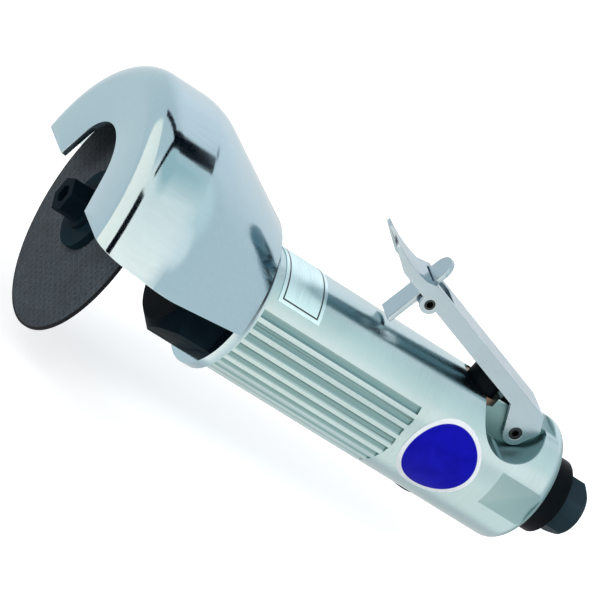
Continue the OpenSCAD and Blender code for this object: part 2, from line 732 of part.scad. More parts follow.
module rotor() {
    color("gray") difference() {
        rod_x(cylinder_x + pass, front_plate_x - pass, rotor_d / 2);
        rod_x(cylinder_x - over, front_plate_x + over, spindle_d / 2);
        for (i = [0 : vane_count - 1]) rotate([360 * i / vane_count, 0, 0])
            translate([cylinder_x - over, -vane_t / 2 - slip, rotor_d / 2 - vane_h - slip])
                cube([cylinder_len + 2 * over, vane_t + 2 * slip, rotor_d]);
    }
}
module rotor_vanes() {
    color("saddlebrown") for (i = [0 : vane_count - 1]) rotate([360 * i / vane_count, 0, 0])
        translate([cylinder_x + pass, -vane_t / 2, rotor_d / 2 - vane_h])
            cube([cylinder_len - 2 * pass, vane_t, vane_h - pass]);
}

// Spindle and wheel
module spindle() {
    color("gray") difference() {
        union() {
            rod_x(bore_x + tail_gap, bore_x + rear_bearing_w, spindle_tail_d / 2);
            rod_x(bore_x + rear_bearing_w, spindle_end_x, spindle_d / 2);
        }
        rod_x(spindle_end_x - bolt_grip_len, spindle_end_x + over, bolt_thread_d / 2 + slip);
    }
}
module spindle_sleeve() {
    color("darkgray") ring_x(sleeve_x, hub_x, hub_d / 2, spindle_d / 2 + slip);
}
module inner_flange() {
    color("darkgray") difference() {
        union() {
            rod_x(hub_x, inner_flange_x, hub_d / 2);
            rod_x(inner_flange_x, wheel_x, flange_d / 2);
            rod_x(wheel_x, wheel_x + wheel_t - seat, wheel_bore_d / 2 - slip);
        }
        rod_x(hub_x - over, spindle_end_x + seat, spindle_d / 2 + slip);
        rod_x(hub_x, outer_flange_x + over, bolt_thread_d / 2 + slip);
    }
}
module cutting_wheel() {
    color([0.3, 0.29, 0.3]) ring_x(wheel_x, wheel_x + wheel_t, wheel_d / 2, wheel_bore_d / 2);
}
module outer_flange() {
    color([0.2, 0.2, 0.22]) ring_x(outer_flange_x, bolt_x, flange_d / 2, bolt_thread_d / 2 + slip);
}
module arbor_bolt() {
    color([0.08, 0.09, 0.1]) difference() {
        union() {
            rod_x(spindle_end_x - bolt_grip_len + over, bolt_x, bolt_thread_d / 2);
            rod_x(bolt_x, bolt_x + bolt_collar_t, bolt_collar_d / 2);
            hex_x(bolt_x + bolt_collar_t, bolt_front_x, bolt_af);
        }
        hex_x(bolt_front_x - bolt_socket_len, bolt_front_x + over, bolt_socket_af);
    }
}

// Lever: a channel with ears at the pin, a lug at the lock and a curled tongue
function tongue_line() =
    let (root = [lever_len + bend_len, tongue_n], tip = [tip_t, tip_n])
    let (chord = tip - root, half = norm(chord) / 2, rise = sqrt(tongue_r * tongue_r - half * half))
    let (centre = (root + tip) / 2 + [-chord[1], chord[0]] * rise / (2 * half))
    arc(centre[0], centre[1], tongue_r, atan2(root[1] - centre[1], root[0] - centre[0]),
        atan2(tip[1] - centre[1], tip[0] - centre[0]));
function reversed(points) = [for (i = [len(points) - 1 : -1 : 0]) points[i]];
function lowered(points, drop) = [for (p = points) [p[0], p[1] - drop]];
module lever_side_view() {
    front = touch([ear_reach, lever_low_n], ear_tuck_share * ear_r, -1);
    rear = touch([-lever_tail_len, lever_low_n], ear_tuck_share * ear_r, 1);
    circle(r = ear_r);
    polygon([[-lever_tail_len, lever_low_n], rear, [0, 0], front, [ear_reach, lever_low_n],
        [0, lever_under_n]]);
    polygon(concat(
        [[-lever_tail_len, lever_low_n], [lever_len + tongue_side_share * tongue_len, lever_low_n],
            [tip_t, tip_n - tip_side_h]],
        reversed(tongue_line()),
        [[lever_len, lever_top_n], [tail_r - lever_tail_len, lever_top_n],
            [-lever_tail_len, lever_top_n - tail_r]]));
    translate([lock_t, lock_n]) circle(r = lug_r);
}
module lever_sheet() {
    difference() {
        slab_y(lever_w) lever_side_view();
        translate([tip_t - tip_round_r, 0, 0]) difference() {
            translate([0, -lever_w, 0]) cube([2 * tip_round_r, 2 * lever_w, 2 * lever_top_n]);
            translate([-tip_trim, 0, -over]) cylinder(h = 2 * lever_top_n + 2 * over, r = tip_round_r);
        }
    }
}
module lever_hollow() {
    slab_y(lever_in_w) polygon(concat(
        [[-lever_tail_len - over, -ear_r - over], [tip_t + over, -ear_r - over],
            [tip_t + over, tip_n - lever_t]],
        reversed(lowered(tongue_line(), lever_t)),
        [[lever_len, lever_under_n], [-lever_tail_len - over, lever_under_n]]));
}
module throttle_lever() {
    color("lightblue") lever_frame() difference() {
        lever_sheet();
        lever_hollow();
        rod_y(0, 0, lever_w + over, pin_d / 2 + run);
        rod_y(lock_t, lock_n, lever_w + over, lock_pin_d / 2 + slip);
        translate([lock_t - slot_rear, -slot_w / 2, lever_under_n - lever_t])
            cube([slot_rear + slot_front, slot_w, lever_top_n]);
    }
}
module rolled_pin(x, z, len, d) {
    difference() {
        rod_y(x, z, len, d / 2);
        rod_y(x, z, len + over, pin_bore_d / 2);
    }
}
module lever_pin() {
    color("dimgray") rolled_pin(pin_x, pin_z, lever_w, pin_d);
}
module lock_pin() {
    color("dimgray") rolled_pin(lock_x, lock_z, lever_w, lock_pin_d);
}
module lock_lever() {
    tab_r = lock_w / 2;
    color("gainsboro") lock_frame() difference() {
        union() {
            translate([lock_back, 0, 0]) rotate([90, 0, 90]) linear_extrude(height = lock_plate_t) {
                translate([-tab_r, -foot_len]) square([lock_w, foot_len + tab_h - tab_r]);
                translate([0, tab_h - tab_r]) circle(r = tab_r);
            }
            for (side = [-1, 1]) translate([0, side * (lock_w - lock_ear_t) / 2, 0]) {
                rod_y(0, 0, lock_ear_t, lock_eye_r);
                translate([0, -lock_ear_t / 2, -lock_eye_r]) cube([lock_offset, lock_ear_t, 2 * lock_eye_r]);
            }
        }
        rod_y(0, 0, lock_w + over, lock_pin_d / 2 + run);
    }
}
module lock_spring() {
    steps = wire_rings * lock_coil_turns;
    from = 90 + lever_angle;
    radials = [for (i = [0 : steps]) let (a = from + 360 * i / wire_rings) [cos(a), 0, sin(a)]];
    coil = [for (i = [0 : steps])
        [0, lock_coil_pitch * (i / wire_rings - lock_coil_turns / 2), 0] + lock_coil_r * radials[i]];
    leg = [sin(from), 0, -cos(from)] * (lock_coil_r + lock_eye_wall);
    echo(lock_spring_gap = least_gap(coil, lock_wire_d));
    color("gray") translate([lock_x, spring_side_y, lock_z])
        wire(concat([coil[0] + leg], coil), concat([radials[0]], radials), [0, 1, 0], lock_wire_d / 2);
}

// Throttle valve
module valve_plunger() {
    color([0.06, 0.06, 0.07]) translate([valve_x, 0, 0]) difference() {
        union() {
            intersection() {
                translate([0, 0, dome_z]) sphere(r = dome_r);
                translate([0, 0, button_z]) cylinder(h = dome_z + dome_r - button_z, d = button_d);
            }
            translate([0, 0, button_z]) cylinder(h = dome_z - button_z, d = button_d);
            translate([0, 0, stem_z]) cylinder(h = button_z - stem_z + over, d = stem_d);
        }
        translate([0, 0, ring_z - ring_d / 2]) difference() {
            cylinder(h = ring_d, d = button_d + over);
            translate([0, 0, -over]) cylinder(h = ring_d + 2 * over, r = button_d / 2 - ring_d);
        }
    }
}
module plunger_seal() {
    color([0.1, 0.1, 0.1]) translate([valve_x, 0, ring_z]) rotate_extrude()
        translate([button_d / 2 - ring_d / 2, 0]) circle(d = ring_d - 2 * slip);
}
module valve_bush() {
    color("goldenrod") translate([valve_x, 0, 0]) difference() {
        union() {
            translate([0, 0, bush_z]) cylinder(h = bush_len, r = bush_r);
            translate([0, 0, bush_seat_z]) cylinder(h = bush_flange_t, d = bush_flange_d);
        }
        translate([0, 0, bush_z + bush_floor_t]) cylinder(h = body_r, d = button_d + 2 * run);
        translate([0, 0, bush_z - over]) cylinder(h = body_r, d = stem_d + 2 * run);
    }
}
module valve_poppet() {
    color("goldenrod") translate([valve_x, 0, poppet_z]) difference() {
        cylinder(h = poppet_t, d = poppet_d);
        translate([0, 0, -over]) cylinder(h = poppet_t + 2 * over, d = stem_d);
    }
}
module valve_seal() {
    color([0.1, 0.1, 0.1]) translate([valve_x, 0, poppet_top_z]) difference() {
        cylinder(h = seal_t, d = poppet_d);
        translate([0, 0, -over]) cylinder(h = seal_t + 2 * over, d = stem_d);
    }
}
module valve_spring() {
    coil_r = (spring_d - spring_wire_d) / 2;
    steps = wire_rings * spring_turns;
    radials = [for (i = [0 : steps]) let (a = 360 * i / wire_rings) [cos(a), sin(a), 0]];
    coil = [for (i = [0 : steps])
        [valve_x, 0, spring_low_z + (spring_high_z - spring_low_z) * i / steps] + coil_r * radials[i]];
    echo(valve_spring_gap = least_gap(coil, spring_wire_d));
    color("silver") mirror([0, 1, 0]) wire(coil, radials, [0, 0, 1], spring_wire_d / 2);
}
module valve_plug() {
    color("dimgray") difference() {
        translate([valve_x, 0, plug_z]) cylinder(h = plug_len, d = plug_d);
        translate([valve_x - plug_d, -plug_slot_w / 2, plug_z - over])
            cube([2 * plug_d, plug_slot_w, plug_slot_h + over]);
    }
}

// Air inlet and exhaust
module inlet_bushing() {
    screen_x = inlet_bore_len;
    color([0.12, 0.17, 0.2]) difference() {
        union() {
            intersection() {
                hex_x(0, inlet_hex_len, inlet_hex_af);
                spun([[0, 0], [0, inlet_bevel_r], [inlet_bevel_len, inlet_hex_r],
                    [inlet_hex_len, inlet_hex_r], [inlet_hex_len, 0]]);
            }
            rod_x(inlet_hex_len, rear_x + inlet_grip_len, inlet_neck_d / 2);
        }
        rod_x(-over, inlet_bore_len, inlet_bore_d / 2);
        rod_x(screen_x - slip, screen_x + screen_t, screen_r + slip);
        rod_x(screen_x, rear_x + inlet_grip_len + over, air_passage_d / 2);
    }
}
module inlet_screen() {
    ring_r = inlet_bore_d / 4;
    color("silver") difference() {
        rod_x(inlet_bore_len, inlet_bore_len + screen_t, screen_r);
        for (i = [0 : screen_hole_count - 1])
            rotate([360 * i / screen_hole_count, 0, 0]) translate([0, 0, ring_r])
                rod_x(inlet_bore_len - over, inlet_bore_len + screen_t + over, screen_hole_d / 2);
        rod_x(inlet_bore_len - over, inlet_bore_len + screen_t + over, screen_hole_d / 2);
    }
}
module exhaust_deflector() {
    neck_r = inlet_neck_d / 2 + slip;
    cavity_r = deflector_d / 2 - deflector_wall;
    vent_ring_r = cavity_r - vent_d / 2 - vent_land;
    back_t = 2 * deflector_wall;
    color([0.05, 0.08, 0.1]) difference() {
        rod_x(deflector_x, rear_x, deflector_d / 2);
        rod_x(deflector_x - over, rear_x + over, neck_r);
        rod_x(deflector_x + back_t, rear_x + over, cavity_r);
        for (i = [0 : vent_count - 1]) rotate([360 * i / vent_count, 0, 0]) translate([0, 0, vent_ring_r])
            rod_x(deflector_x - over, deflector_x + back_t + over, vent_d / 2);
    }
}

housing();
nameplate();
badge();
clamp_nut();
wheel_guard();
guard_collar();
front_end_plate();
front_bearing_outer();
front_bearing_inner();
motor_cylinder();
cylinder_pin();
rotor();
rotor_vanes();
rear_end_plate();
rear_bearing_outer();
rear_bearing_inner();
spindle();
spindle_sleeve();
inner_flange();
cutting_wheel();
outer_flange();
arbor_bolt();
throttle_lever();
lever_pin();
lock_lever();
lock_pin();
lock_spring();
valve_plunger();
plunger_seal();
valve_bush();
valve_poppet();
valve_seal();
valve_spring();
valve_plug();
inlet_bushing();
inlet_screen();
exhaust_deflector();
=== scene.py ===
"""Finished pieces, finishes and studio of a pneumatic cut off tool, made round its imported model."""

import json
import math

import bmesh
import bpy
from bpy.props import FloatProperty, FloatVectorProperty, IntProperty, PointerProperty
from mathutils import Matrix, Vector

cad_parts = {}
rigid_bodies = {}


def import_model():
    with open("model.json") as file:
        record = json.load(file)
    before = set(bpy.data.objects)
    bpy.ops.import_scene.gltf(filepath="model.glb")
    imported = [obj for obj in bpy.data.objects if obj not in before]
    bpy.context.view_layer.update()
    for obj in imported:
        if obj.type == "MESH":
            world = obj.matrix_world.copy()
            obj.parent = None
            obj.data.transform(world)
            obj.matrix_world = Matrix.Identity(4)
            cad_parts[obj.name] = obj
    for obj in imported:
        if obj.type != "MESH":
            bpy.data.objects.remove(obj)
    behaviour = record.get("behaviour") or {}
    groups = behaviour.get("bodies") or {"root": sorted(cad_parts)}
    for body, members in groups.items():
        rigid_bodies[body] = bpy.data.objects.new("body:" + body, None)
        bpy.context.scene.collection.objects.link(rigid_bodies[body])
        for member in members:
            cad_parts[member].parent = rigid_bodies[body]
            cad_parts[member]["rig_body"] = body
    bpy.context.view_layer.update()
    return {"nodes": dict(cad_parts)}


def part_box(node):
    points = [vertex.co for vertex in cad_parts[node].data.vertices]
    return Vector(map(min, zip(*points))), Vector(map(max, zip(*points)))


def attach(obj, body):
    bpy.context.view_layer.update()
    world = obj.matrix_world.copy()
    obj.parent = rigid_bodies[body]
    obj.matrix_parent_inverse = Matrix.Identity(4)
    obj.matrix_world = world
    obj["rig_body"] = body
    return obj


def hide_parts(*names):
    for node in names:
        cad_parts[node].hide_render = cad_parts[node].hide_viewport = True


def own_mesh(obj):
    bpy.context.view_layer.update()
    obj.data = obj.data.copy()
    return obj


bl_info = {
    "name": "Pneumatic Cut Off Tool",
    "version": (1, 0, 0),
    "blender": (4, 5, 0),
    "location": "View3D > Sidebar > Cut Off Tool",
    "description": "Makes the finished pieces, finishes and studio of a pneumatic cut off tool",
    "category": "Object",
}

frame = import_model()
NODES = frame["nodes"]
WHEEL_LOW, WHEEL_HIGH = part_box("cutting_wheel")
COLLAR_LOW, COLLAR_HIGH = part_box("guard_collar")
PLATE_LOW, PLATE_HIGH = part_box("nameplate")
BADGE_LOW, BADGE_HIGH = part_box("badge")
LOCK_PIN_LOW, LOCK_PIN_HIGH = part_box("lock_pin")
LOCK_SPRING_LOW, LOCK_SPRING_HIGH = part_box("lock_spring")
VALVE_SPRING_LOW, VALVE_SPRING_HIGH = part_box("valve_spring")
GUARD_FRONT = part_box("wheel_guard")[1].x
NUT_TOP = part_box("clamp_nut")[1].z
PLUNGER_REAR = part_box("valve_plunger")[0].x
BODY_RADIUS = -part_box("housing")[0].y

ORIGIN = Vector((0.0, 0.0, 0.0))
AXIS = Vector((1.0, 0.0, 0.0))
WHITE = (1.0, 1.0, 1.0, 1.0)

# Wrench flats of the housing: middle along the axis, half length, half height, and how far out they are
FLAT_MIDDLE = 0.0298
FLAT_HALF_LONG = 0.0080
FLAT_HALF_HIGH = 0.00603
FLAT_OUT = 0.01976

# Broken edges of the housing end this far in front of the plunger's rear, and lie further than this from
# the middle and than this share of the radius from the axis
CUTS_REACH = 0.012
CUTS_ASIDE = 0.0055
CUTS_OUT = 0.9

# Depths below the housing's skin where its finish starts to be a cut one, and where it is fully that; the
# dark colour there is partly a cut finish and partly painted shade in the recesses
CUT_AND_SHADE_START = 0.00005
CUT_AND_SHADE_FULL = 0.0006

# Printed border of the nameplate, from the plate's edge
BORDER_START = 0.00117
BORDER_END = 0.00167

# Painted shade on the guard's collar, where the guard's rear edge overhangs it, is half as strong this far in
# front of the collar's rear and at this height
SEAM_SHADE_START = 0.0006
SEAM_SHADE_HEIGHT = 0.005

# White rim of the badge, where it starts and where it is full, as shares of the badge's radius
BADGE_RIM_START = 0.885
BADGE_RIM_FULL = 0.900

# Painted shade along the rim of the wheel's faces, from the wheel's edge, and turn of the glass weave in the
# wheel
WHEEL_SHADED_RIM = 0.0006
WEAVE_TURN = math.radians(14.0)

# Inner edge of the guard's front plate before the mouth is cut, as a share of the mouth's radius
PLATE_EDGE = 0.25

# Start and width of the inlet's thread in pitches, and its sink into the bore's wall in depths
THREAD_START = 0.6
THREAD_WIDTH = 0.9
THREAD_SINK = 0.1

# Steps a turn of the thread and of wound wire
THREAD_STEPS = 64
WIRE_STEPS = 36

# Distances under which points become one: in a node's copy, a turned or cut outline, and a carved shell
COPY_WELD = 2e-6
TURNED_WELD = 1e-7
CARVED_WELD = 1e-6

# How far a point of the round skin may be off the radius, and the most that one flat face may bend
SKIN_TOLERANCE = 2e-5
FLAT_ANGLE = math.radians(0.25)

# Finishes by name, once the first operator has made them
FINISHES = {}


def length(label, about, size):
    """A settable length in metres."""
    return FloatProperty(name=label, description=about, default=size, unit="LENGTH", precision=5)


def angle(label, about, degrees):
    """A settable angle."""
    return FloatProperty(name=label, description=about, default=math.radians(degrees), subtype="ANGLE")


def winding(label, about, turns):
    """A settable number of turns."""
    return FloatProperty(name=label, description=about, default=turns, min=0.5)


def shade(label, about, red, green, blue):
    """A settable colour."""
    opaque = (red, green, blue, 1.0)
    return FloatVectorProperty(
        name=label, description=about, default=opaque, size=4, min=0.0, max=1.0, subtype="COLOR"
    )


class CutOffToolSizes(bpy.types.PropertyGroup):
    """Sizes of the pieces that are modelled here."""

    guard_radius: length("Guard radius", "Outside of the guard round the wheel", 0.0457)
    guard_wall: length("Guard wall", "Thickness of the guard's sheet", 0.0018)
    guard_corner: length("Guard corner", "Rounding between the front plate and the rim", 0.0085)
    guard_shoulder: length("Guard shoulder", "Rounding between the rim and the cone", 0.020)
    guard_shoulder_x: length("Guard shoulder place", "Where the shoulder meets the rim", 0.1762)
    guard_cone: angle("Guard cone", "Angle of the cone to the axis", 28.1)
    guard_room: length("Guard room", "Room between the clamp nut and the guard's back wall", 0.0003)
    guard_cut_x: length("Guard cut place", "Where the guard's lower edge has its height", 0.134)
    guard_cut_z: length("Guard cut height", "Height of the guard's lower edge over the axis", -0.0006)
    guard_cut_rise: angle("Guard cut rise", "Rise of the guard's lower edge", 4.6)
    guard_turn: angle("Guard turn", "Turn of the guard from upright", 4.0)
    guard_edge: length("Guard edge", "Rounding of the guard's cut edges", 0.00030)
    mouth_radius: length("Mouth radius", "Radius of the mouth in the front plate", 0.017)
    mouth_height: length("Mouth height", "Height of the mouth's centre above the axis", 0.0075)
    mouth_flare: angle("Mouth flare", "Flare of the mouth's sides", 24.0)
    spin_steps: IntProperty(
        name="Turning steps", description="Steps of a turn of the guard and the wheel", default=240, min=48
    )
    edge_round: length("Edge rounding", "Rounding of machined edges", 0.00018)
    sheet_round: length("Sheet rounding", "Rounding of the edges of stamped sheet", 0.00025)
    plate_round: length("Plate rounding", "Rounding of the edges of the nameplate and the badge", 0.00006)
    screen_round: length("Screen rounding", "Rounding of the edges of the inlet's screen", 0.00005)
    wheel_bore: length("Wheel bore", "Radius of the hole in the wheel", 0.00475)
    wheel_rim: length("Wheel rim", "Chamfer of the wheel's rim", 0.00012)
    thread_pitch: length("Thread pitch", "Pitch of the air inlet's pipe thread", 0.00141)
    thread_depth: length("Thread depth", "Depth of the air inlet's pipe thread", 0.0005)
    thread_turns: winding("Thread turns", "Turns of the air inlet's pipe thread", 6.0)
    inlet_bore: length("Inlet bore", "Radius of the air inlet's bore", 0.0056)
    lock_spring_radius: length("Lock spring radius", "Radius of the lock spring's coil", 0.0021)
    lock_spring_wire: length("Lock spring wire", "Radius of the lock spring's wire", 0.00021)
    lock_spring_pitch: length("Lock spring pitch", "Pitch of the lock spring's coil", 0.0010)
    lock_spring_turns: winding("Lock spring turns", "Turns of the lock spring's coil", 1.25)
    lock_spring_tilt: angle("Lock spring tilt", "Where the lock spring's leg leaves the coil", 106.5)
    lock_spring_leg: length("Lock spring leg", "Length of the lock spring's straight leg", 0.0036)
    valve_spring_wire: length("Valve spring wire", "Radius of the valve spring's wire", 0.0005)
    valve_spring_turns: winding("Valve spring turns", "Turns of the valve's spring", 6.0)
    valve_travel: length("Valve travel", "Way of the valve from rest to its stop", 0.0024)


class CutOffToolColours(bpy.types.PropertyGroup):
    """Colours of the finishes."""

    aluminium: shade("Aluminium", "Polished aluminium of the housing", 0.435, 0.585, 0.615)
    # Cut aluminium is partly the colour of cut metal and partly painted shade in the housing's recesses
    cut_and_shaded_aluminium: shade("Cut aluminium", "Housing where a cutter went below it", 0.165, 0.295, 0.312)
    chrome: shade("Chrome", "Plating of the guard", 0.385, 0.53, 0.595)
    sheet_steel: shade("Sheet steel", "Plated sheet of the lever and the lock", 0.375, 0.495, 0.56)
    silver: shade("Silver plate", "Bare silver of the nameplate", 0.71, 0.94, 0.98)
    ink: shade("Ink", "Printed border of the nameplate", 0.008, 0.012, 0.016)
    badge_blue: shade("Badge blue", "Blue of the round badge", 0.004, 0.004, 0.40)
    badge_white: shade("Badge white", "Rim of the round badge", 0.80, 0.83, 0.86)
    black_oxide: shade("Black oxide", "Blackened steel of the nut, bolt and flange", 0.003, 0.008, 0.012)
    worn_steel: shade("Worn steel", "Corners where the black is worn off", 0.10, 0.17, 0.22)
    slate: shade("Slate", "Dark inlet bushing", 0.015, 0.028, 0.036)
    black_plastic: shade("Black plastic", "Plunger and deflector", 0.002, 0.004, 0.006)
    abrasive: shade("Abrasive", "Grit of the wheel", 0.049, 0.062, 0.075)
    brass: shade("Brass", "Bush of the plunger", 0.22, 0.145, 0.105)
    bright_steel: shade("Bright steel", "Ground steel inside the tool", 0.52, 0.54, 0.55)
    grey_iron: shade("Grey iron", "Cast iron inside the motor", 0.20, 0.21, 0.22)
    rubber: shade("Rubber", "Seals", 0.012, 0.012, 0.012)
    laminate: shade("Laminate", "Vanes of the motor", 0.16, 0.085, 0.040)
    zinc: shade("Zinc", "Black zinc plated pins", 0.045, 0.055, 0.062)


def sizes():
    """The sizes that the scene holds."""
    return bpy.context.scene.cut_off_tool_sizes


def colours():
    """The colours that the scene holds."""
    return bpy.context.scene.cut_off_tool_colours


# Node helpers


def feed(tree, socket, value):
    """Links a socket to an input, or sets the input to a value."""
    if isinstance(value, bpy.types.NodeSocket):
        tree.links.new(value, socket)
    else:
        socket.default_value = value


def add_node(tree, kind, inputs=None, **settings):
    """Adds a node, sets its settings, and sets or links its inputs."""
    made = tree.nodes.new(kind)
    for label, value in settings.items():
        setattr(made, label, value)
    for label, value in (inputs or {}).items():
        feed(tree, made.inputs[label], value)
    return made


def object_place(tree):
    """The place on the object's own axes."""
    return add_node(tree, "ShaderNodeTexCoord").outputs["Object"]


def axes(tree, where):
    """The three values of a vector."""
    return add_node(tree, "ShaderNodeSeparateXYZ", {0: where}).outputs


def maths(tree, operation, first, second=0.0, third=0.0):
    """A sum on values or sockets."""
    return add_node(tree, "ShaderNodeMath", {0: first, 1: second, 2: third}, operation=operation).outputs[0]


def added(tree, base, *shares):
    """A base with shares of other values added to it, each given as a value and its share."""
    for value, share in shares:
        base = maths(tree, "MULTIPLY_ADD", value, share, base)
    return base


def hypotenuse(tree, first, second):
    """The length that two values at right angles span."""
    squares = [maths(tree, "POWER", value, 2.0) for value in (first, second)]
    return maths(tree, "SQRT", maths(tree, "ADD", *squares))


def spread(tree, value, low, high, start=0.0, end=1.0):
    """Runs from low to high as a value goes from a start to an end."""
    inputs = {"Value": value, "From Min": start, "From Max": end, "To Min": low, "To Max": high}
    return add_node(tree, "ShaderNodeMapRange", inputs).outputs[0]


def ramp(tree, value, start, end):
    """Runs from 0 to 1 as a value goes from a start to an end."""
    return spread(tree, value, 0.0, 1.0, start, end)


def above(tree, value, edge, soft):
    """1 where a value lies above an edge, with a soft change."""
    return ramp(tree, value, edge - soft, edge + soft)


def between(tree, value, low, high, soft):
    """1 where a value lies between two others, with soft ends."""
    fallen = spread(tree, value, 1.0, 0.0, high - soft, high + soft)
    return maths(tree, "MULTIPLY", above(tree, value, low, soft), fallen)


def mixed(tree, factor, first, second):
    """A mix of two colours, on the inputs and the output that a Mix node keeps for colours."""
    return add_node(tree, "ShaderNodeMix", {0: factor, 6: first, 7: second}, data_type="RGBA").outputs[2]


def scaled(tree, vector, scale=(1.0, 1.0, 1.0), turn=(0.0, 0.0, 0.0)):
    """A vector turned and scaled."""
    inputs = {"Vector": vector, "Rotation": turn, "Scale": scale}
    return add_node(tree, "ShaderNodeMapping", inputs).outputs[0]


def noise(tree, where, scale, **more):
    """A cloudy value that changes from place to place."""
    return add_node(tree, "ShaderNodeTexNoise", {"Vector": where, "Scale": scale, **more}).outputs["Fac"]


def effect(tree, name, **inputs):
    """Places a shared effect in a material."""
    return add_node(tree, "ShaderNodeGroup", inputs, node_tree=bpy.data.node_groups[name]).outputs[0]


def start_effect(name, inputs, output):
    """Starts a shared effect with a vector, named numbers and one output, and gives its ends."""
    tree = bpy.data.node_groups.new(name, "ShaderNodeTree")
    tree.interface.new_socket("Vector", in_out="INPUT", socket_type="NodeSocketVector")
    for label, value in inputs.items():
        made = tree.interface.new_socket(label, in_out="INPUT", socket_type="NodeSocketFloat")
        made.default_value = value
    tree.interface.new_socket(output, in_out="OUTPUT", socket_type="NodeSocketFloat")
    return tree, tree.nodes.new("NodeGroupInput").outputs, tree.nodes.new("NodeGroupOutput").inputs[output]


def make_effects():
    """The effects that more than one finish uses."""
    tree, given, result = start_effect("Polish Lines", {}, "Lines")
    lines = noise(tree, given["Vector"], 1.0, Detail=3.0, Roughness=0.62)
    feed(tree, result, ramp(tree, lines, start=0.3, end=0.7))

    tree, given, result = start_effect("Handling Marks", {"Size": 50.0}, "Marks")
    marks = noise(tree, given["Vector"], given["Size"], Detail=5.0, Roughness=0.55, Distortion=0.5)
    feed(tree, result, ramp(tree, marks, start=0.38, end=0.68))

    tree, given, result = start_effect("Fine Grit", {"Size": 2000.0}, "Grit")
    cells = add_node(tree, "ShaderNodeTexVoronoi", {"Vector": given["Vector"], "Scale": given["Size"]})
    dust = noise(tree, given["Vector"], given["Size"], Detail=2.0)
    feed(tree, result, added(tree, 0.0, (dust, 0.6), (cells.outputs["Distance"], 0.6)))

    tree, given, result = start_effect("Worn Corners", {"From": 0.02, "To": 0.022, "Size": 600.0}, "Wear")
    parts = axes(tree, given["Vector"])
    reach = ramp(tree, hypotenuse(tree, parts["Y"], parts["Z"]), given["From"], given["To"])
    clouds = noise(tree, given["Vector"], given["Size"], Detail=4.0, Roughness=0.7)
    patches = ramp(tree, clouds, start=0.4, end=0.62)
    feed(tree, result, maths(tree, "MULTIPLY", reach, patches))


def drive(tree, shader, **sockets):
    """Sets or links a shader's sockets, named with _ for a space."""
    for label, value in sockets.items():
        feed(tree, shader.inputs[label.replace("_", " ")], value)


def start_material(name, **sockets):
    """Starts a finish, with the values that are the same all over it set on the shader."""
    material = bpy.data.materials.new(name)
    material.use_nodes = True
    tree = material.node_tree
    shader = tree.nodes["Principled BSDF"]
    drive(tree, shader, **sockets)
    return material, tree, shader, object_place(tree)


def bare_material(name):
    """A material with nothing in its tree, for the stage."""
    material = bpy.data.materials.new(name)
    material.use_nodes = True
    material.node_tree.nodes.clear()
    return material


def raise_surface(tree, shader, height, depth, strength):
    """Gives a finish its relief."""
    inputs = {"Strength": strength, "Distance": depth, "Height": height}
    drive(tree, shader, Normal=add_node(tree, "ShaderNodeBump", inputs).outputs[0])


def darker(colour, share):
    """A colour made darker by a share, or paler where the share is over 1."""
    return (colour[0] * share, colour[1] * share, colour[2] * share, 1.0)


# Finishes


def polish(tree, where, lines_scale, mark_size):
    """The polishing lines and handling marks of a metal, and the tone that both give it."""
    lines = effect(tree, "Polish Lines", Vector=scaled(tree, where, lines_scale))
    marks = effect(tree, "Handling Marks", Vector=where, Size=mark_size)
    return lines, marks, added(tree, 0.0, (lines, 0.4), (marks, 0.6))


def polished_metal(name, colour, lines_scale, mark_size, smooth, dull, relief=0.00002, tint=0.86):
    """Bare or plated metal with polishing lines and faint handling marks."""
    material, tree, shader, where = start_material(name, Metallic=1.0)
    lines, marks, tone = polish(tree, where, lines_scale, mark_size)
    drive(
        tree, shader,
        Base_Color=mixed(tree, tone, tuple(colour), darker(colour, tint)),
        Roughness=spread(tree, added(tree, 0.0, (marks, 0.45), (lines, 0.55)), smooth, dull),
    )
    raise_surface(tree, shader, lines, relief, strength=0.35)
    return material


def flat_mask(tree, parts):
    """1 on the housing's wrench flats and 0 elsewhere."""
    from_middle = maths(tree, "ABSOLUTE", maths(tree, "SUBTRACT", parts["X"], FLAT_MIDDLE))
    from_end = maths(tree, "SUBTRACT", FLAT_HALF_LONG, from_middle)
    from_edge = maths(tree, "SUBTRACT", FLAT_HALF_HIGH, maths(tree, "ABSOLUTE", parts["Z"]))
    inside = above(tree, maths(tree, "MINIMUM", from_end, from_edge), 0.0, soft=0.00005)
    outside = above(tree, maths(tree, "ABSOLUTE", parts["Y"]), FLAT_OUT, soft=0.00002)
    return maths(tree, "MULTIPLY", outside, inside)


def housing_finish(paints):
    """Polished aluminium on the round outside, duller where a cutter went below it; the darker colour there
    is partly a cut finish and partly painted shade in the recesses.
    """
    material, tree, shader, where = start_material("polished_aluminium", Metallic=1.0)
    parts = axes(tree, where)
    radius = hypotenuse(tree, parts["Y"], parts["Z"])
    below = spread(tree, radius, 1.0, 0.0, BODY_RADIUS - CUT_AND_SHADE_FULL, BODY_RADIUS - CUT_AND_SHADE_START)
    on_flat = flat_mask(tree, parts)
    paler_on_flat = added(tree, 1.0, (on_flat, -0.36))
    # Painted shade: the cut share darkens the flutes and pockets with depth, on top of their cut finish, and
    # the flats get less of it
    cut = maths(tree, "MULTIPLY", maths(tree, "MAXIMUM", below, on_flat), paler_on_flat)
    lines, marks, tone = polish(tree, where, lines_scale=(4200.0, 60.0, 60.0), mark_size=45.0)
    bright = mixed(tree, tone, tuple(paints.aluminium), darker(paints.aluminium, 0.88))
    drive(
        tree, shader,
        Base_Color=mixed(tree, cut, bright, tuple(paints.cut_and_shaded_aluminium)),
        Roughness=added(tree, 0.13, (marks, 0.05), (lines, 0.06), (cut, 0.20)),
    )
    raise_surface(tree, shader, lines, depth=0.00002, strength=0.35)
    return material


def chrome_finish(name, paints):
    """Bright chrome plate."""
    return polished_metal(
        name, paints.chrome, lines_scale=(120.0, 900.0, 900.0), mark_size=30.0,
        smooth=0.07, dull=0.15, relief=0.000008, tint=0.93,
    )


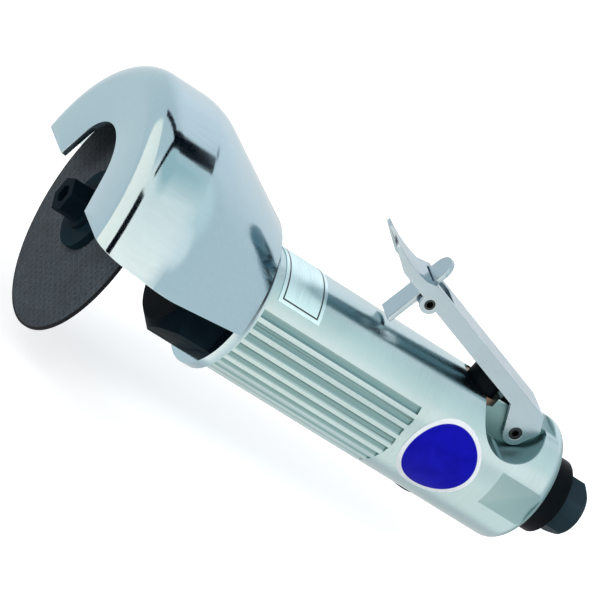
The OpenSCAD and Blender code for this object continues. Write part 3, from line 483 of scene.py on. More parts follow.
def collar_finish(paints):
    """Chrome, with painted shade in the corner under the guard's rear edge."""
    material = chrome_finish("chrome_collar", paints)
    tree = material.node_tree
    base = tree.nodes["Principled BSDF"].inputs["Base Color"]
    parts = axes(tree, object_place(tree))
    # Painted shade: the collar is darkened in front and up high, where the guard's rear edge overhangs it
    forward = above(tree, parts["X"], COLLAR_LOW.x + SEAM_SHADE_START, soft=0.0002)
    seam_shade = maths(tree, "MULTIPLY", forward, above(tree, parts["Z"], SEAM_SHADE_HEIGHT, soft=0.007))
    feed(tree, base, mixed(tree, seam_shade, base.links[0].from_socket, darker(paints.chrome, 0.08)))
    return material


def black_metal(name, colour, corners, smooth=0.40, dull=0.58):
    """Blackened steel, mottled, with its corners worn between two distances from the axis."""
    material, tree, shader, where = start_material(name, Specular_IOR_Level=0.008)
    marks = effect(tree, "Handling Marks", Vector=where, Size=90.0)
    grit = effect(tree, "Fine Grit", Vector=where, Size=2600.0)
    wear = effect(tree, "Worn Corners", Vector=where, From=corners[0], To=corners[1], Size=3200.0)
    faint_wear = maths(tree, "MULTIPLY", wear, 0.04)
    base = mixed(tree, marks, tuple(colour), darker(colour, 1.5))
    drive(
        tree, shader,
        Base_Color=mixed(tree, faint_wear, base, tuple(colours().worn_steel)),
        Roughness=spread(tree, marks, smooth, dull),
    )
    raise_surface(tree, shader, grit, depth=0.00003, strength=0.25)
    return material


def moulded(name, colour, grain, smooth, dull):
    """Plastic or rubber with a fine moulded grain."""
    material, tree, shader, where = start_material(name, Specular_IOR_Level=0.03)
    marks = effect(tree, "Handling Marks", Vector=where, Size=120.0)
    grit = effect(tree, "Fine Grit", Vector=where, Size=grain)
    drive(
        tree, shader,
        Base_Color=mixed(tree, marks, tuple(colour), darker(colour, 1.7)),
        Roughness=spread(tree, marks, smooth, dull),
    )
    raise_surface(tree, shader, grit, depth=0.00004, strength=0.3)
    return material


def nameplate_finish(paints):
    """Silver plate, brushed round the housing, with a printed black border and nothing inside it."""
    material, tree, shader, where = start_material("silver_nameplate")
    parts = axes(tree, where)
    middle = (PLATE_LOW.x + PLATE_HIGH.x) / 2
    half_long = (PLATE_HIGH.x - PLATE_LOW.x) / 2
    radius = PLATE_HIGH.z
    half_round = radius * math.asin(min(1.0, PLATE_HIGH.y / radius))
    along = maths(tree, "ABSOLUTE", maths(tree, "SUBTRACT", parts["X"], middle))
    turn = maths(tree, "ABSOLUTE", maths(tree, "ARCTAN2", parts["Y"], parts["Z"]))
    past_end = maths(tree, "SUBTRACT", along, half_long)
    past_side = maths(tree, "SUBTRACT", maths(tree, "MULTIPLY", turn, radius), half_round)
    past_edge = maths(tree, "MAXIMUM", past_end, past_side)
    border = between(tree, past_edge, -BORDER_END, -BORDER_START, soft=0.00005)
    lines = effect(tree, "Polish Lines", Vector=scaled(tree, where, (5200.0, 130.0, 130.0)))
    marks = effect(tree, "Handling Marks", Vector=where, Size=140.0)
    bare = mixed(tree, lines, tuple(paints.silver), darker(paints.silver, 0.82))
    drive(
        tree, shader,
        Base_Color=mixed(tree, border, bare, tuple(paints.ink)),
        Metallic=spread(tree, border, low=0.92, high=0.0),
        Roughness=added(tree, 0.26, (marks, 0.08), (lines, 0.12)),
    )
    raise_surface(tree, shader, lines, depth=0.00001, strength=0.3)
    return material


def badge_finish(paints):
    """Round sticker: plain blue with a white rim, under a clear film."""
    even_values = {"Coat_Roughness": 0.12, "Specular_IOR_Level": 0.04}
    material, tree, shader, where = start_material("blue_badge", **even_values)
    parts = axes(tree, where)
    middle = (BADGE_LOW + BADGE_HIGH) / 2
    reach = (BADGE_HIGH.x - BADGE_LOW.x) / 2
    along = maths(tree, "SUBTRACT", parts["X"], middle.x)
    upward = maths(tree, "SUBTRACT", parts["Z"], middle.z)
    radius = hypotenuse(tree, along, upward)
    rim = ramp(tree, radius, reach * BADGE_RIM_START, reach * BADGE_RIM_FULL)
    marks = effect(tree, "Handling Marks", Vector=where, Size=160.0)
    grain = effect(tree, "Fine Grit", Vector=where, Size=3000.0)
    blue = mixed(tree, marks, tuple(paints.badge_blue), darker(paints.badge_blue, 0.80))
    white = mixed(tree, marks, tuple(paints.badge_white), darker(paints.badge_white, 0.92))
    drive(
        tree, shader,
        Base_Color=mixed(tree, rim, blue, white),
        Roughness=spread(tree, marks, low=0.30, high=0.42),
        Coat_Weight=spread(tree, marks, low=0.05, high=0.02),
    )
    raise_surface(tree, shader, grain, depth=0.00001, strength=0.2)
    return material


def glass_weave(tree, where):
    """Two sets of threads at right angles in the wheel's plane, 1 on a thread."""
    sets = []
    for turn in (WEAVE_TURN, WEAVE_TURN + math.radians(90.0)):
        turned = scaled(tree, where, turn=(turn, 0.0, 0.0))
        inputs = {"Vector": turned, "Scale": 130.0, "Distortion": 0.6, "Detail": 1.0, "Detail Scale": 4.0}
        sets.append(add_node(tree, "ShaderNodeTexWave", inputs, bands_direction="Y").outputs["Fac"])
    return ramp(tree, maths(tree, "MAXIMUM", *sets), start=0.62, end=1.0)


def abrasive_finish(paints):
    """Bonded grit with the weave of the glass mesh showing through, and painted shade along the rim."""
    material, tree, shader, where = start_material("abrasive_grit", Specular_IOR_Level=0.12)
    grit = effect(tree, "Fine Grit", Vector=where, Size=2300.0)
    specks = effect(tree, "Fine Grit", Vector=where, Size=900.0)
    marks = effect(tree, "Handling Marks", Vector=where, Size=70.0)
    weave = glass_weave(tree, where)
    parts = axes(tree, where)
    radius = hypotenuse(tree, parts["Y"], parts["Z"])
    # How far each layer covers those before it, and its brightness
    layers = (
        (ramp(tree, grit, start=0.35, end=0.85), 1.5),
        (spread(tree, specks, low=0.0, high=0.8, start=0.42, end=0.25), 2.8),
        (maths(tree, "MULTIPLY", weave, 0.35), 1.7),
        (maths(tree, "MULTIPLY", marks, 0.5), 0.45),
        # Painted shade: the last layer darkens the faces along the wheel's rim
        (above(tree, radius, WHEEL_HIGH.y - WHEEL_SHADED_RIM, soft=0.0001), 0.1),
    )
    tone = darker(paints.abrasive, 0.15)
    for share, brightness in layers:
        tone = mixed(tree, share, tone, darker(paints.abrasive, brightness))
    drive(tree, shader, Base_Color=tone, Roughness=spread(tree, grit, low=0.62, high=0.92))
    raise_surface(tree, shader, added(tree, grit, (weave, 0.5)), depth=0.00012, strength=0.55)
    return material


def laminate_finish(paints):
    """Layered resin cloth of the vanes."""
    material, tree, shader, where = start_material("vane_laminate")
    layers = effect(tree, "Polish Lines", Vector=scaled(tree, where, (80.0, 2600.0, 2600.0)))
    drive(
        tree, shader,
        Base_Color=mixed(tree, layers, tuple(paints.laminate), darker(paints.laminate, 0.6)),
        Roughness=spread(tree, layers, low=0.42, high=0.62),
    )
    raise_surface(tree, shader, layers, depth=0.00003, strength=0.4)
    return material


def make_finishes(paints):
    """Every finish of the tool, by name."""
    make_effects()
    oxide = paints.black_oxide
    return {
        "housing": housing_finish(paints),
        "chrome": chrome_finish("chrome_plate", paints),
        "collar": collar_finish(paints),
        "sheet": polished_metal(
            "plated_sheet_steel", paints.sheet_steel, lines_scale=(90.0, 3000.0, 3000.0), mark_size=80.0,
            smooth=0.16, dull=0.32,
        ),
        "nameplate": nameplate_finish(paints),
        "badge": badge_finish(paints),
        "nut": black_metal("black_nut", oxide, corners=(0.0205, 0.0219)),
        "flange": black_metal("black_flange", darker(oxide, 1.6), corners=(0.0115, 0.0126)),
        "bolt": black_metal("black_bolt", oxide, corners=(0.0053, 0.0058)),
        "slate": black_metal("slate_inlet", paints.slate, corners=(0.0092, 0.0099), smooth=0.32, dull=0.5),
        "plastic": moulded("black_plastic", paints.black_plastic, grain=1800.0, smooth=0.34, dull=0.5),
        "rubber": moulded("seal_rubber", paints.rubber, grain=1200.0, smooth=0.6, dull=0.8),
        "abrasive": abrasive_finish(paints),
        "laminate": laminate_finish(paints),
        "brass": polished_metal(
            "turned_brass", paints.brass, lines_scale=(300.0, 300.0, 4200.0), mark_size=90.0,
            smooth=0.24, dull=0.4,
        ),
        "steel": polished_metal(
            "ground_steel", paints.bright_steel, lines_scale=(3600.0, 90.0, 90.0), mark_size=70.0,
            smooth=0.18, dull=0.32,
        ),
        "iron": polished_metal(
            "grey_iron", paints.grey_iron, lines_scale=(900.0, 900.0, 900.0), mark_size=110.0,
            smooth=0.38, dull=0.58, relief=0.00006, tint=0.7,
        ),
        "zinc": polished_metal(
            "black_zinc_plate", paints.zinc, lines_scale=(700.0, 260.0, 700.0), mark_size=120.0,
            smooth=0.26, dull=0.42,
        ),
    }


# Mesh helpers


def placed_axes(first, second, third, place):
    """The matrix that turns X, Y and Z to three axes and moves the origin to a place."""
    matrix = Matrix((first, second, third)).transposed().to_4x4()
    matrix.translation = place
    return matrix


def points_of(geometry):
    """The vertices among what an operator made."""
    return [item for item in geometry if isinstance(item, bmesh.types.BMVert)]


def in_order(work):
    """The same mesh with its points and faces sorted by place, because a spin orders them anew each run."""
    points = sorted(work.verts, key=lambda point: tuple(point.co))
    for rank, point in enumerate(points):
        point.index = rank
    faces = sorted([point.index for point in face.verts] for face in work.faces)
    made = bmesh.new()
    placed = [made.verts.new(point.co) for point in points]
    for corners in faces:
        made.faces.new([placed[i] for i in corners])
    made.normal_update()
    work.free()
    return made


def merged_copy(name):
    """A node's mesh with its loose triangles joined and its flat faces made whole."""
    work = bmesh.new()
    work.from_mesh(NODES[name].data)
    bmesh.ops.remove_doubles(work, verts=work.verts[:], dist=COPY_WELD)
    bmesh.ops.dissolve_limit(work, angle_limit=FLAT_ANGLE, verts=work.verts[:], edges=work.edges[:])
    return work


def round_edges(work, width, least_angle=32.0, segments=2, wanted=None):
    """Rounds the edges that are sharper than an angle, all of them or those that are wanted."""
    least = math.radians(least_angle)
    sharp = [edge for edge in work.edges if edge.is_manifold and edge.calc_face_angle(0.0) > least]
    if wanted:
        sharp = [edge for edge in sharp if wanted(edge)]
    bmesh.ops.bevel(
        work, geom=sharp, offset=width, offset_type="OFFSET", segments=segments, profile=0.5,
        affect="EDGES", clamp_overlap=True, material=-1, loop_slide=True,
    )


def outline(work, points):
    """A flat face in the XZ plane through a few points, given along and away from the axis."""
    corners = [work.verts.new((along, 0.0, away)) for along, away in points]
    work.faces.new(corners)
    return corners


def round_corner(work, corner, reach, segments):
    """Rounds one corner of a flat outline."""
    bmesh.ops.bevel(
        work, geom=[corner], offset=reach, offset_type="OFFSET", segments=segments, profile=0.5,
        affect="VERTICES", clamp_overlap=False, material=-1,
    )


def turn_outline(work, steps):
    """The closed ring that the outline of a flat face makes as it turns about the tool's axis."""
    bmesh.ops.delete(work, geom=work.faces[:], context="FACES_ONLY")
    bmesh.ops.spin(
        work, geom=work.verts[:] + work.edges[:], cent=ORIGIN, axis=AXIS, dvec=ORIGIN,
        angle=2.0 * math.pi, steps=steps, use_merge=True, use_duplicate=False,
    )
    bmesh.ops.remove_doubles(work, verts=work.verts[:], dist=TURNED_WELD)
    bmesh.ops.recalc_face_normals(work, faces=work.faces[:])
    return in_order(work)


def fill_holes(work):
    """Closes the open ends of a mesh."""
    bmesh.ops.holes_fill(work, edges=[edge for edge in work.edges if edge.is_boundary], sides=0)


def cut_away(work, point, keep):
    """Cuts a closed mesh along a plane, keeps the side that keep points to, and closes the cut."""
    bmesh.ops.bisect_plane(
        work, geom=work.verts[:] + work.edges[:] + work.faces[:], dist=TURNED_WELD,
        plane_co=point, plane_no=keep, clear_inner=True,
    )
    fill_holes(work)


def loose_object(work, name):
    """An object from a bmesh, with nothing else set."""
    mesh = bpy.data.meshes.new(name)
    work.to_mesh(mesh)
    work.free()
    made = bpy.data.objects.new(name, mesh)
    bpy.context.scene.collection.objects.link(made)
    return made


def carve(work, cutter):
    """The bmesh less a cutter's bmesh."""
    body = loose_object(work, "carved")
    tool = loose_object(cutter, "cutter")
    step = body.modifiers.new("carve", "BOOLEAN")
    step.operation = "DIFFERENCE"
    step.solver = "EXACT"
    step.object = tool
    shown = bpy.context.evaluated_depsgraph_get()
    result = bmesh.new()
    result.from_mesh(body.evaluated_get(shown).to_mesh())
    for used in (body, tool):
        mesh = used.data
        bpy.data.objects.remove(used)
        bpy.data.meshes.remove(mesh)
    bmesh.ops.remove_doubles(result, verts=result.verts[:], dist=CARVED_WELD)
    return result


def even_shading(made):
    """Lets the large faces set the shading, so that a flat face looks flat up to its rounded edges."""
    step = made.modifiers.new("even shading", "WEIGHTED_NORMAL")
    step.keep_sharp = True
    shown = bpy.context.evaluated_depsgraph_get()
    before = made.data
    after = bpy.data.meshes.new_from_object(made.evaluated_get(shown))
    made.modifiers.remove(step)
    made.data = after
    bpy.data.meshes.remove(before)
    after.name = made.name


def finish_piece(work, name, finish, node, crease=30.0, stands_for=True, even=False):
    """Makes a smooth shaded, finished piece that rides on its node's body and stands for the node."""
    made = loose_object(work, name)
    mesh = made.data
    mesh.polygons.foreach_set("use_smooth", [True] * len(mesh.polygons))
    mesh.set_sharp_from_angle(angle=math.radians(crease))
    mesh.materials.append(FINISHES[finish])
    if even:
        even_shading(made)
    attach(made, NODES[node]["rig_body"])
    if stands_for:
        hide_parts(node)
    return made


def dress(finish, width, *nodes):
    """Stands a copy of each node, with rounded edges and its finish, in the node's place."""
    for node in nodes:
        work = merged_copy(node)
        round_edges(work, width)
        finish_piece(work, node + "_finished", finish, node, even=True)


def repaint(finish, *nodes):
    """Gives nodes their finish and leaves their shapes alone."""
    for node in nodes:
        slots = NODES[node].data.materials
        slots.clear()
        slots.append(FINISHES[finish])


# Pieces


def on_rear_cuts(edge):
    """Tells whether an edge is an outer one of the lever's pockets or the wrench flats."""
    middle = (edge.verts[0].co + edge.verts[1].co) / 2.0
    behind = middle.x < PLUNGER_REAR + CUTS_REACH
    return behind and middle.yz.length > BODY_RADIUS * CUTS_OUT and abs(middle.y) > CUTS_ASIDE


def straighten_skin(mesh):
    """Points the shading of the housing's round skin straight away from the axis."""
    outward = []
    for face in mesh.polygons:
        corners = [mesh.vertices[i].co for i in face.vertices]
        skin = all(abs(corner.yz.length - BODY_RADIUS) < SKIN_TOLERANCE for corner in corners)
        for corner in corners:
            outward.append(Vector((0.0, corner.y, corner.z)).normalized() if skin else ORIGIN)
    mesh.normals_split_custom_set(outward)


def guard_ring(size):
    """The guard's sheet turned all the way round: back wall, cone, rim and front plate."""
    outer, wall = size.guard_radius, size.guard_wall
    inner = outer - wall
    slope, bend = math.tan(size.guard_cone), math.tan(size.guard_cone / 2.0)
    outer_bend, inner_bend = size.guard_shoulder * bend, (size.guard_shoulder - wall) * bend
    outer_x, inner_x = size.guard_shoulder_x - outer_bend, size.guard_shoulder_x - inner_bend
    front, back = GUARD_FRONT, COLLAR_HIGH.x
    hub, hole = PLATE_EDGE * size.mouth_radius, NUT_TOP + size.guard_room
    points = [
        (back, outer - (outer_x - back) * slope), (outer_x, outer), (front, outer), (front, hub),
        (front - wall, hub), (front - wall, inner), (inner_x, inner),
        (back + wall, inner - (inner_x - back - wall) * slope), (back + wall, hole), (back, hole),
    ]
    work = bmesh.new()
    corners = outline(work, points)
    round_corner(work, corners[1], outer_bend, segments=12)
    round_corner(work, corners[2], size.guard_corner, segments=16)
    round_corner(work, corners[5], size.guard_corner - wall, segments=12)
    round_corner(work, corners[6], inner_bend, segments=8)
    return turn_outline(work, size.spin_steps)


def mouth_cutter(size):
    """A bar whose end is the mouth's outline: round on top, with flared sides."""
    cutter = bmesh.new()
    flare, radius, height = size.mouth_flare, size.mouth_radius, size.mouth_height
    touch_y, touch_z = radius * math.cos(flare), height + radius * math.sin(flare)
    drop = 2.0 * radius
    start = GUARD_FRONT - size.guard_corner
    side = cutter.verts.new((start, touch_y, touch_z))
    arc = bmesh.ops.spin(
        cutter, geom=[side], cent=(start, 0.0, height), axis=AXIS, dvec=ORIGIN,
        angle=math.pi - 2.0 * flare, steps=48, use_merge=False, use_duplicate=False,
    )
    foot_y = touch_y + drop * math.tan(flare)
    far = cutter.verts.new((start, -foot_y, touch_z - drop))
    near = cutter.verts.new((start, foot_y, touch_z - drop))
    last = points_of(arc["geom_last"])[0]
    for pair in ((last, far), (far, near), (near, side)):
        cutter.edges.new(pair)
    face = bmesh.ops.contextual_create(cutter, geom=cutter.edges[:])["faces"][0]
    pushed = bmesh.ops.extrude_face_region(cutter, geom=[face])["geom"]
    bmesh.ops.translate(cutter, verts=points_of(pushed), vec=2.0 * size.guard_corner * AXIS)
    bmesh.ops.recalc_face_normals(cutter, faces=cutter.faces[:])
    return in_order(cutter)


def wound_wire(centre, axis, start, wire, pitch, turns, leg=None):
    """A round wire wound about an axis through a centre, from a start point, with a straight leg if asked."""
    work = bmesh.new()
    axis = Vector(axis)
    across = (start - centre).normalized()
    tangent = axis.cross(start - centre).normalized()
    ring = placed_axes(across, axis, tangent, start)
    bmesh.ops.create_circle(work, cap_ends=False, segments=12, radius=wire, matrix=ring)
    first = work.edges[:]
    steps = round(WIRE_STEPS * turns)
    bmesh.ops.spin(
        work, geom=work.verts[:] + first, cent=centre, axis=axis, dvec=Vector(pitch) * turns / steps,
        angle=2.0 * math.pi * turns, steps=steps, use_merge=False, use_duplicate=False,
    )
    if leg:
        grown = bmesh.ops.extrude_edge_only(work, edges=first)["geom"]
        bmesh.ops.translate(work, verts=points_of(grown), vec=-tangent * leg)
    fill_holes(work)
    bmesh.ops.recalc_face_normals(work, faces=work.faces[:])
    return in_order(work)


def inlet_thread(size):
    """The ridge of the inlet's thread, sunk a little into the bore's wall."""
    work = bmesh.new()
    pitch, turns = size.thread_pitch, size.thread_turns
    root = size.inlet_bore + THREAD_SINK * size.thread_depth
    start, width = THREAD_START * pitch, THREAD_WIDTH * pitch
    outline(work, [(start, root), (start + width / 2.0, root - size.thread_depth), (start + width, root)])
    bmesh.ops.delete(work, geom=work.faces[:], context="FACES_ONLY")
    bmesh.ops.spin(
        work, geom=work.verts[:] + work.edges[:], cent=ORIGIN, axis=AXIS, dvec=pitch / THREAD_STEPS * AXIS,
        angle=2.0 * math.pi * turns, steps=round(THREAD_STEPS * turns), use_merge=False, use_duplicate=False,
    )
    fill_holes(work)
    bmesh.ops.recalc_face_normals(work, faces=work.faces[:])
    return in_order(work)


class CUTOFF_OT_finishes(bpy.types.Operator):
    """Make the finishes of the tool"""

    bl_idname = "cutoff.finishes"
    bl_label = "Finishes"

    def execute(self, context):
        FINISHES.update(make_finishes(colours()))
        return {"FINISHED"}


class CUTOFF_OT_housing(bpy.types.Operator):
    """Make the polished housing, with its edges broken"""

    bl_idname = "cutoff.housing"
    bl_label = "Housing"

    def execute(self, context):
        work = merged_copy("housing")
        round_edges(work, sizes().sheet_round, least_angle=34.0, wanted=on_rear_cuts)
        made = finish_piece(work, "housing_finished", "housing", "housing", crease=25.0)
        straighten_skin(made.data)
        return {"FINISHED"}


class CUTOFF_OT_plates(bpy.types.Operator):
    """Make the bare nameplate and the plain round badge"""

    bl_idname = "cutoff.plates"
    bl_label = "Nameplate and Badge"

    def execute(self, context):
        size = sizes()
        dress("nameplate", size.plate_round, "nameplate")
        dress("badge", size.plate_round, "badge")
        return {"FINISHED"}


class CUTOFF_OT_guard(bpy.types.Operator):
    """Make the guard, turned from its outline and cut along its edges, and its collar"""

    bl_idname = "cutoff.guard"
    bl_label = "Guard"

    def execute(self, context):
        size = sizes()
        rise = size.guard_cut_rise
        work = guard_ring(size)
        cut_away(work, (size.guard_cut_x, 0.0, size.guard_cut_z), (-math.sin(rise), 0.0, math.cos(rise)))
        work = carve(work, mouth_cutter(size))
        turn = Matrix.Rotation(size.guard_turn, 3, "X")
        bmesh.ops.rotate(work, verts=work.verts[:], cent=ORIGIN, matrix=turn)
        round_edges(work, size.guard_edge, least_angle=45.0, segments=3)
        finish_piece(work, "guard_shell", "chrome", "wheel_guard", crease=32.0)
        dress("collar", size.edge_round, "guard_collar")
        return {"FINISHED"}


class CUTOFF_OT_nut(bpy.types.Operator):
    """Make the black clamp nut"""

    bl_idname = "cutoff.nut"
    bl_label = "Clamp Nut"

    def execute(self, context):
        dress("nut", sizes().sheet_round, "clamp_nut")
        return {"FINISHED"}


class CUTOFF_OT_wheel(bpy.types.Operator):
    """Make the cutting wheel, its flanges and the arbor bolt"""

    bl_idname = "cutoff.wheel"
    bl_label = "Wheel and Arbor"

    def execute(self, context):
        size = sizes()
        bore, rim = size.wheel_bore, WHEEL_HIGH.y
        rear, front = WHEEL_LOW.x, WHEEL_HIGH.x
        work = bmesh.new()
        corners = outline(work, [(rear, bore), (front, bore), (front, rim), (rear, rim)])
        for corner in corners[2:]:
            round_corner(work, corner, size.wheel_rim, segments=3)
        work = turn_outline(work, size.spin_steps)
        finish_piece(work, "wheel_disc", "abrasive", "cutting_wheel", crease=40.0)
        dress("flange", size.sheet_round, "outer_flange")
        dress("flange", size.edge_round, "inner_flange")
        dress("bolt", size.edge_round, "arbor_bolt")
        dress("steel", size.edge_round, "spindle_sleeve")
        repaint("steel", "spindle")
        return {"FINISHED"}


class CUTOFF_OT_lever(bpy.types.Operator):
    """Make the stamped lever and its rolled pin"""

    bl_idname = "cutoff.lever"
    bl_label = "Throttle Lever"

    def execute(self, context):
        size = sizes()
        dress("sheet", size.sheet_round, "throttle_lever")
        dress("zinc", size.edge_round, "lever_pin")
        return {"FINISHED"}


class CUTOFF_OT_lock(bpy.types.Operator):
    """Make the lock, its rolled pin and its spring"""

    bl_idname = "cutoff.lock"
    bl_label = "Lock"

    def execute(self, context):
        size = sizes()
        dress("sheet", size.sheet_round, "lock_lever")
        dress("zinc", size.edge_round, "lock_pin")
        pin = (LOCK_PIN_LOW + LOCK_PIN_HIGH) / 2.0
        side = (LOCK_SPRING_LOW.y + LOCK_SPRING_HIGH.y) / 2.0
        wire, turns, tilt = size.lock_spring_wire, size.lock_spring_turns, size.lock_spring_tilt
        centre = Vector((pin.x, side - size.lock_spring_pitch * turns / 2.0, pin.z))
        start = centre + size.lock_spring_radius * Vector((math.cos(tilt), 0.0, math.sin(tilt)))
        pitch = (0.0, size.lock_spring_pitch, 0.0)
        work = wound_wire(centre, (0.0, -1.0, 0.0), start, wire, pitch, turns, size.lock_spring_leg)
        finish_piece(work, "lock_spring_wire", "steel", "lock_spring", crease=60.0)
        return {"FINISHED"}


class CUTOFF_OT_valve(bpy.types.Operator):
    """Make the throttle valve's plunger, bush, seals, poppet, spring and plug"""

    bl_idname = "cutoff.valve"
    bl_label = "Throttle Valve"

    def execute(self, context):
        size = sizes()
        dress("plastic", size.edge_round, "valve_plunger")
        dress("brass", size.edge_round, "valve_bush")
        dress("nut", size.edge_round, "valve_plug")
        repaint("rubber", "plunger_seal", "valve_seal")
        repaint("brass", "valve_poppet")
        low, high = VALVE_SPRING_LOW, VALVE_SPRING_HIGH
        wire, turns = size.valve_spring_wire, size.valve_spring_turns
        rise = high.z - low.z
        centre = Vector(((low.x + high.x) / 2.0, (low.y + high.y) / 2.0, low.z + wire))
        start = centre + Vector(((high.x - low.x) / 2.0 - wire, 0.0, 0.0))
        pitch = (0.0, 0.0, (rise - 2.0 * wire) / turns)
        work = wound_wire(centre, (0.0, 0.0, -1.0), start, wire, pitch, turns)
        made = finish_piece(work, "valve_spring_wire", "steel", "valve_spring", crease=60.0)
        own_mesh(made)
        return {"FINISHED"}


class CUTOFF_OT_inlet(bpy.types.Operator):
    """Make the threaded air inlet, its screen and the exhaust deflector"""

    bl_idname = "cutoff.inlet"
    bl_label = "Air Inlet and Exhaust"

    def execute(self, context):
        size = sizes()
        dress("slate", size.sheet_round, "inlet_bushing")
        finish_piece(inlet_thread(size), "inlet_thread", "slate", "inlet_bushing", stands_for=False)
        dress("plastic", size.sheet_round, "exhaust_deflector")
        dress("steel", size.screen_round, "inlet_screen")
        return {"FINISHED"}


class CUTOFF_OT_motor(bpy.types.Operator):
    """Finish the motor's pieces inside the housing"""

    bl_idname = "cutoff.motor"
    bl_label = "Motor"

    def execute(self, context):
        repaint("iron", "front_end_plate", "rear_end_plate", "motor_cylinder")
        repaint("steel", "cylinder_pin", "rotor")
        for end in ("front", "rear"):
            repaint("steel", end + "_bearing_outer", end + "_bearing_inner")
        repaint("laminate", "rotor_vanes")
        return {"FINISHED"}


# Stage

# Camera at the photograph's viewing angle, in metres, with its lens and sensor in millimetres
CAMERA_PLACE = Vector((0.67492, 1.11318, 0.39421))
CAMERA_RIGHT = Vector((-0.7639, 0.16879, 0.62287))
CAMERA_UP = Vector((0.48245, -0.49167, 0.72492))
CAMERA_LENS = 267.35
CAMERA_SENSOR = 36.0

# Half width of the floor, its middle along the axis, and its gap below the guard's radius
FLOOR_REACH = 6.0
FLOOR_MIDDLE = 0.1
FLOOR_GAP = 0.0004

# Two tones of the floor, and how much it glows where the camera sees it
FLOOR_TONES = ((0.80, 0.80, 0.80, 1.0), (0.84, 0.84, 0.84, 1.0))
FLOOR_GLOW = 0.45

# Studio's plain light and its strength, and what gloss shows of it: all round, on the bright wall from
# its foot to its top, and on the dark streak
FILL = (0.90, 0.95, 1.0, 1.0)
FILL_STRENGTH = 0.55
GLOSS = (0.93, 0.96, 0.97, 1.0)
WALL_FOOT = (1.95, 1.64, 1.46, 1.0)
WALL_MIDDLE = (1.46, 1.34, 1.24, 1.0)
WALL_TOP = (0.70, 0.86, 0.86, 1.0)
STREAK = (0.10, 0.15, 0.18, 1.0)

# Direction, outer and inner angle, and colour of each soft glow that the polished metal shows
GLOWS = (
    ((-0.46, 0.45, -0.75), 48.0, 20.0, (1.16, 1.15, 1.10)),
    ((-0.45, -0.60, -0.65), 42.0, 15.0, (0.78, 0.78, 0.78)),
    ((-0.45, -0.60, 0.65), 42.0, 10.0, (1.20, 1.17, 1.20)),
    ((-0.45, 0.38, 0.80), 30.0, 8.0, (1.10, 1.15, 1.13)),
    ((-0.48, 0.75, 0.45), 20.0, 5.0, (1.42, 1.32, 1.28)),
)

# Name, place, width, height, power and tint of each soft box, and the point that they face
LAMPS = (
    ("key", (-0.10, 0.75, 0.85), 0.7, 0.5, 5.5, (1.0, 1.0, 1.0)),
    ("front", (0.95, 0.30, 0.35), 0.5, 0.7, 3.0, (1.0, 1.0, 0.97)),
    ("rear", (-0.55, -0.45, 0.55), 0.6, 0.6, 2.5, (1.0, 1.0, 1.0)),
)
LAMP_TARGET = Vector((0.11, 0.0, 0.0))

# Name, both ends, width, and lower and upper colour of each card, and the point that they face
DARK = (0.001, 0.003, 0.008)
DIM = (0.003, 0.006, 0.012)
CARDS = (
    ("dark_bar", (-0.10, -0.075, 0.60), (0.26, -0.055, 0.60), 0.16, DARK, DIM),
    ("dark_near_arm", (0.20, -0.05, 0.60), (0.66, 0.22, 0.60), 0.075, DARK, DIM),
    ("dark_far_arm", (0.20, -0.05, 0.60), (0.60, -0.47, 0.60), 0.085, DARK, DIM),
    ("dark_strip", (1.00, 0.66, -0.22), (1.00, 0.33, 0.56), 0.36, DARK, DIM),
    ("bright_end", (1.20, -0.22, -0.45), (1.20, -0.22, 0.90), 1.10, (2.0, 1.66, 1.42), (1.6, 1.42, 1.26)),
)
CARD_TARGET = Vector((0.185, 0.03, 0.03))

# Height that a level card's colours still run over
CARD_LEAST_RISE = 0.001


def set_camera(scene):
    """The camera at the photograph's viewing angle."""
    data = bpy.data.cameras.new("camera")
    data.lens = CAMERA_LENS
    data.sensor_width = CAMERA_SENSOR
    data.clip_start = 0.05
    data.clip_end = 50.0
    camera = bpy.data.objects.new("camera", data)
    scene.collection.objects.link(camera)
    right = CAMERA_RIGHT.normalized()
    back = CAMERA_RIGHT.cross(CAMERA_UP).normalized()
    camera.matrix_world = placed_axes(right, back.cross(right), back, CAMERA_PLACE)
    scene.camera = camera


def set_floor():
    """A pale floor that keeps the tool's shadow and is white away from it."""
    work = bmesh.new()
    bmesh.ops.create_grid(work, x_segments=1, y_segments=1, size=FLOOR_REACH)
    middle = (FLOOR_MIDDLE, 0.0, -sizes().guard_radius - FLOOR_GAP)
    bmesh.ops.translate(work, verts=work.verts[:], vec=middle)
    floor = loose_object(work, "floor")
    material = bare_material("pale_floor")
    tree = material.node_tree
    tone = mixed(tree, noise(tree, object_place(tree), scale=3.0), *FLOOR_TONES)
    matt = add_node(tree, "ShaderNodeBsdfDiffuse", {"Color": tone})
    seen = add_node(tree, "ShaderNodeLightPath").outputs["Is Camera Ray"]
    strength = maths(tree, "MULTIPLY", seen, FLOOR_GLOW)
    glow = add_node(tree, "ShaderNodeEmission", {"Color": WHITE, "Strength": strength})
    both = add_node(tree, "ShaderNodeAddShader", {0: matt.outputs[0], 1: glow.outputs[0]})
    add_node(tree, "ShaderNodeOutputMaterial", {"Surface": both.outputs[0]})
    floor.data.materials.append(material)
    floor.visible_glossy = False


def glow_towards(tree, where, under, axis, wide, narrow, colour):
    """Lays a soft round glow over a colour, round a direction."""
    vectors = {0: where, 1: Vector(axis).normalized()}
    facing = add_node(tree, "ShaderNodeVectorMath", vectors, operation="DOT_PRODUCT").outputs["Value"]
    start, end = math.cos(math.radians(wide)), math.cos(math.radians(narrow))
    inputs = {"Value": facing, "From Min": start, "From Max": end}
    share = add_node(tree, "ShaderNodeMapRange", inputs, interpolation_type="SMOOTHSTEP").outputs[0]
    return mixed(tree, share, under, (*colour, 1.0))


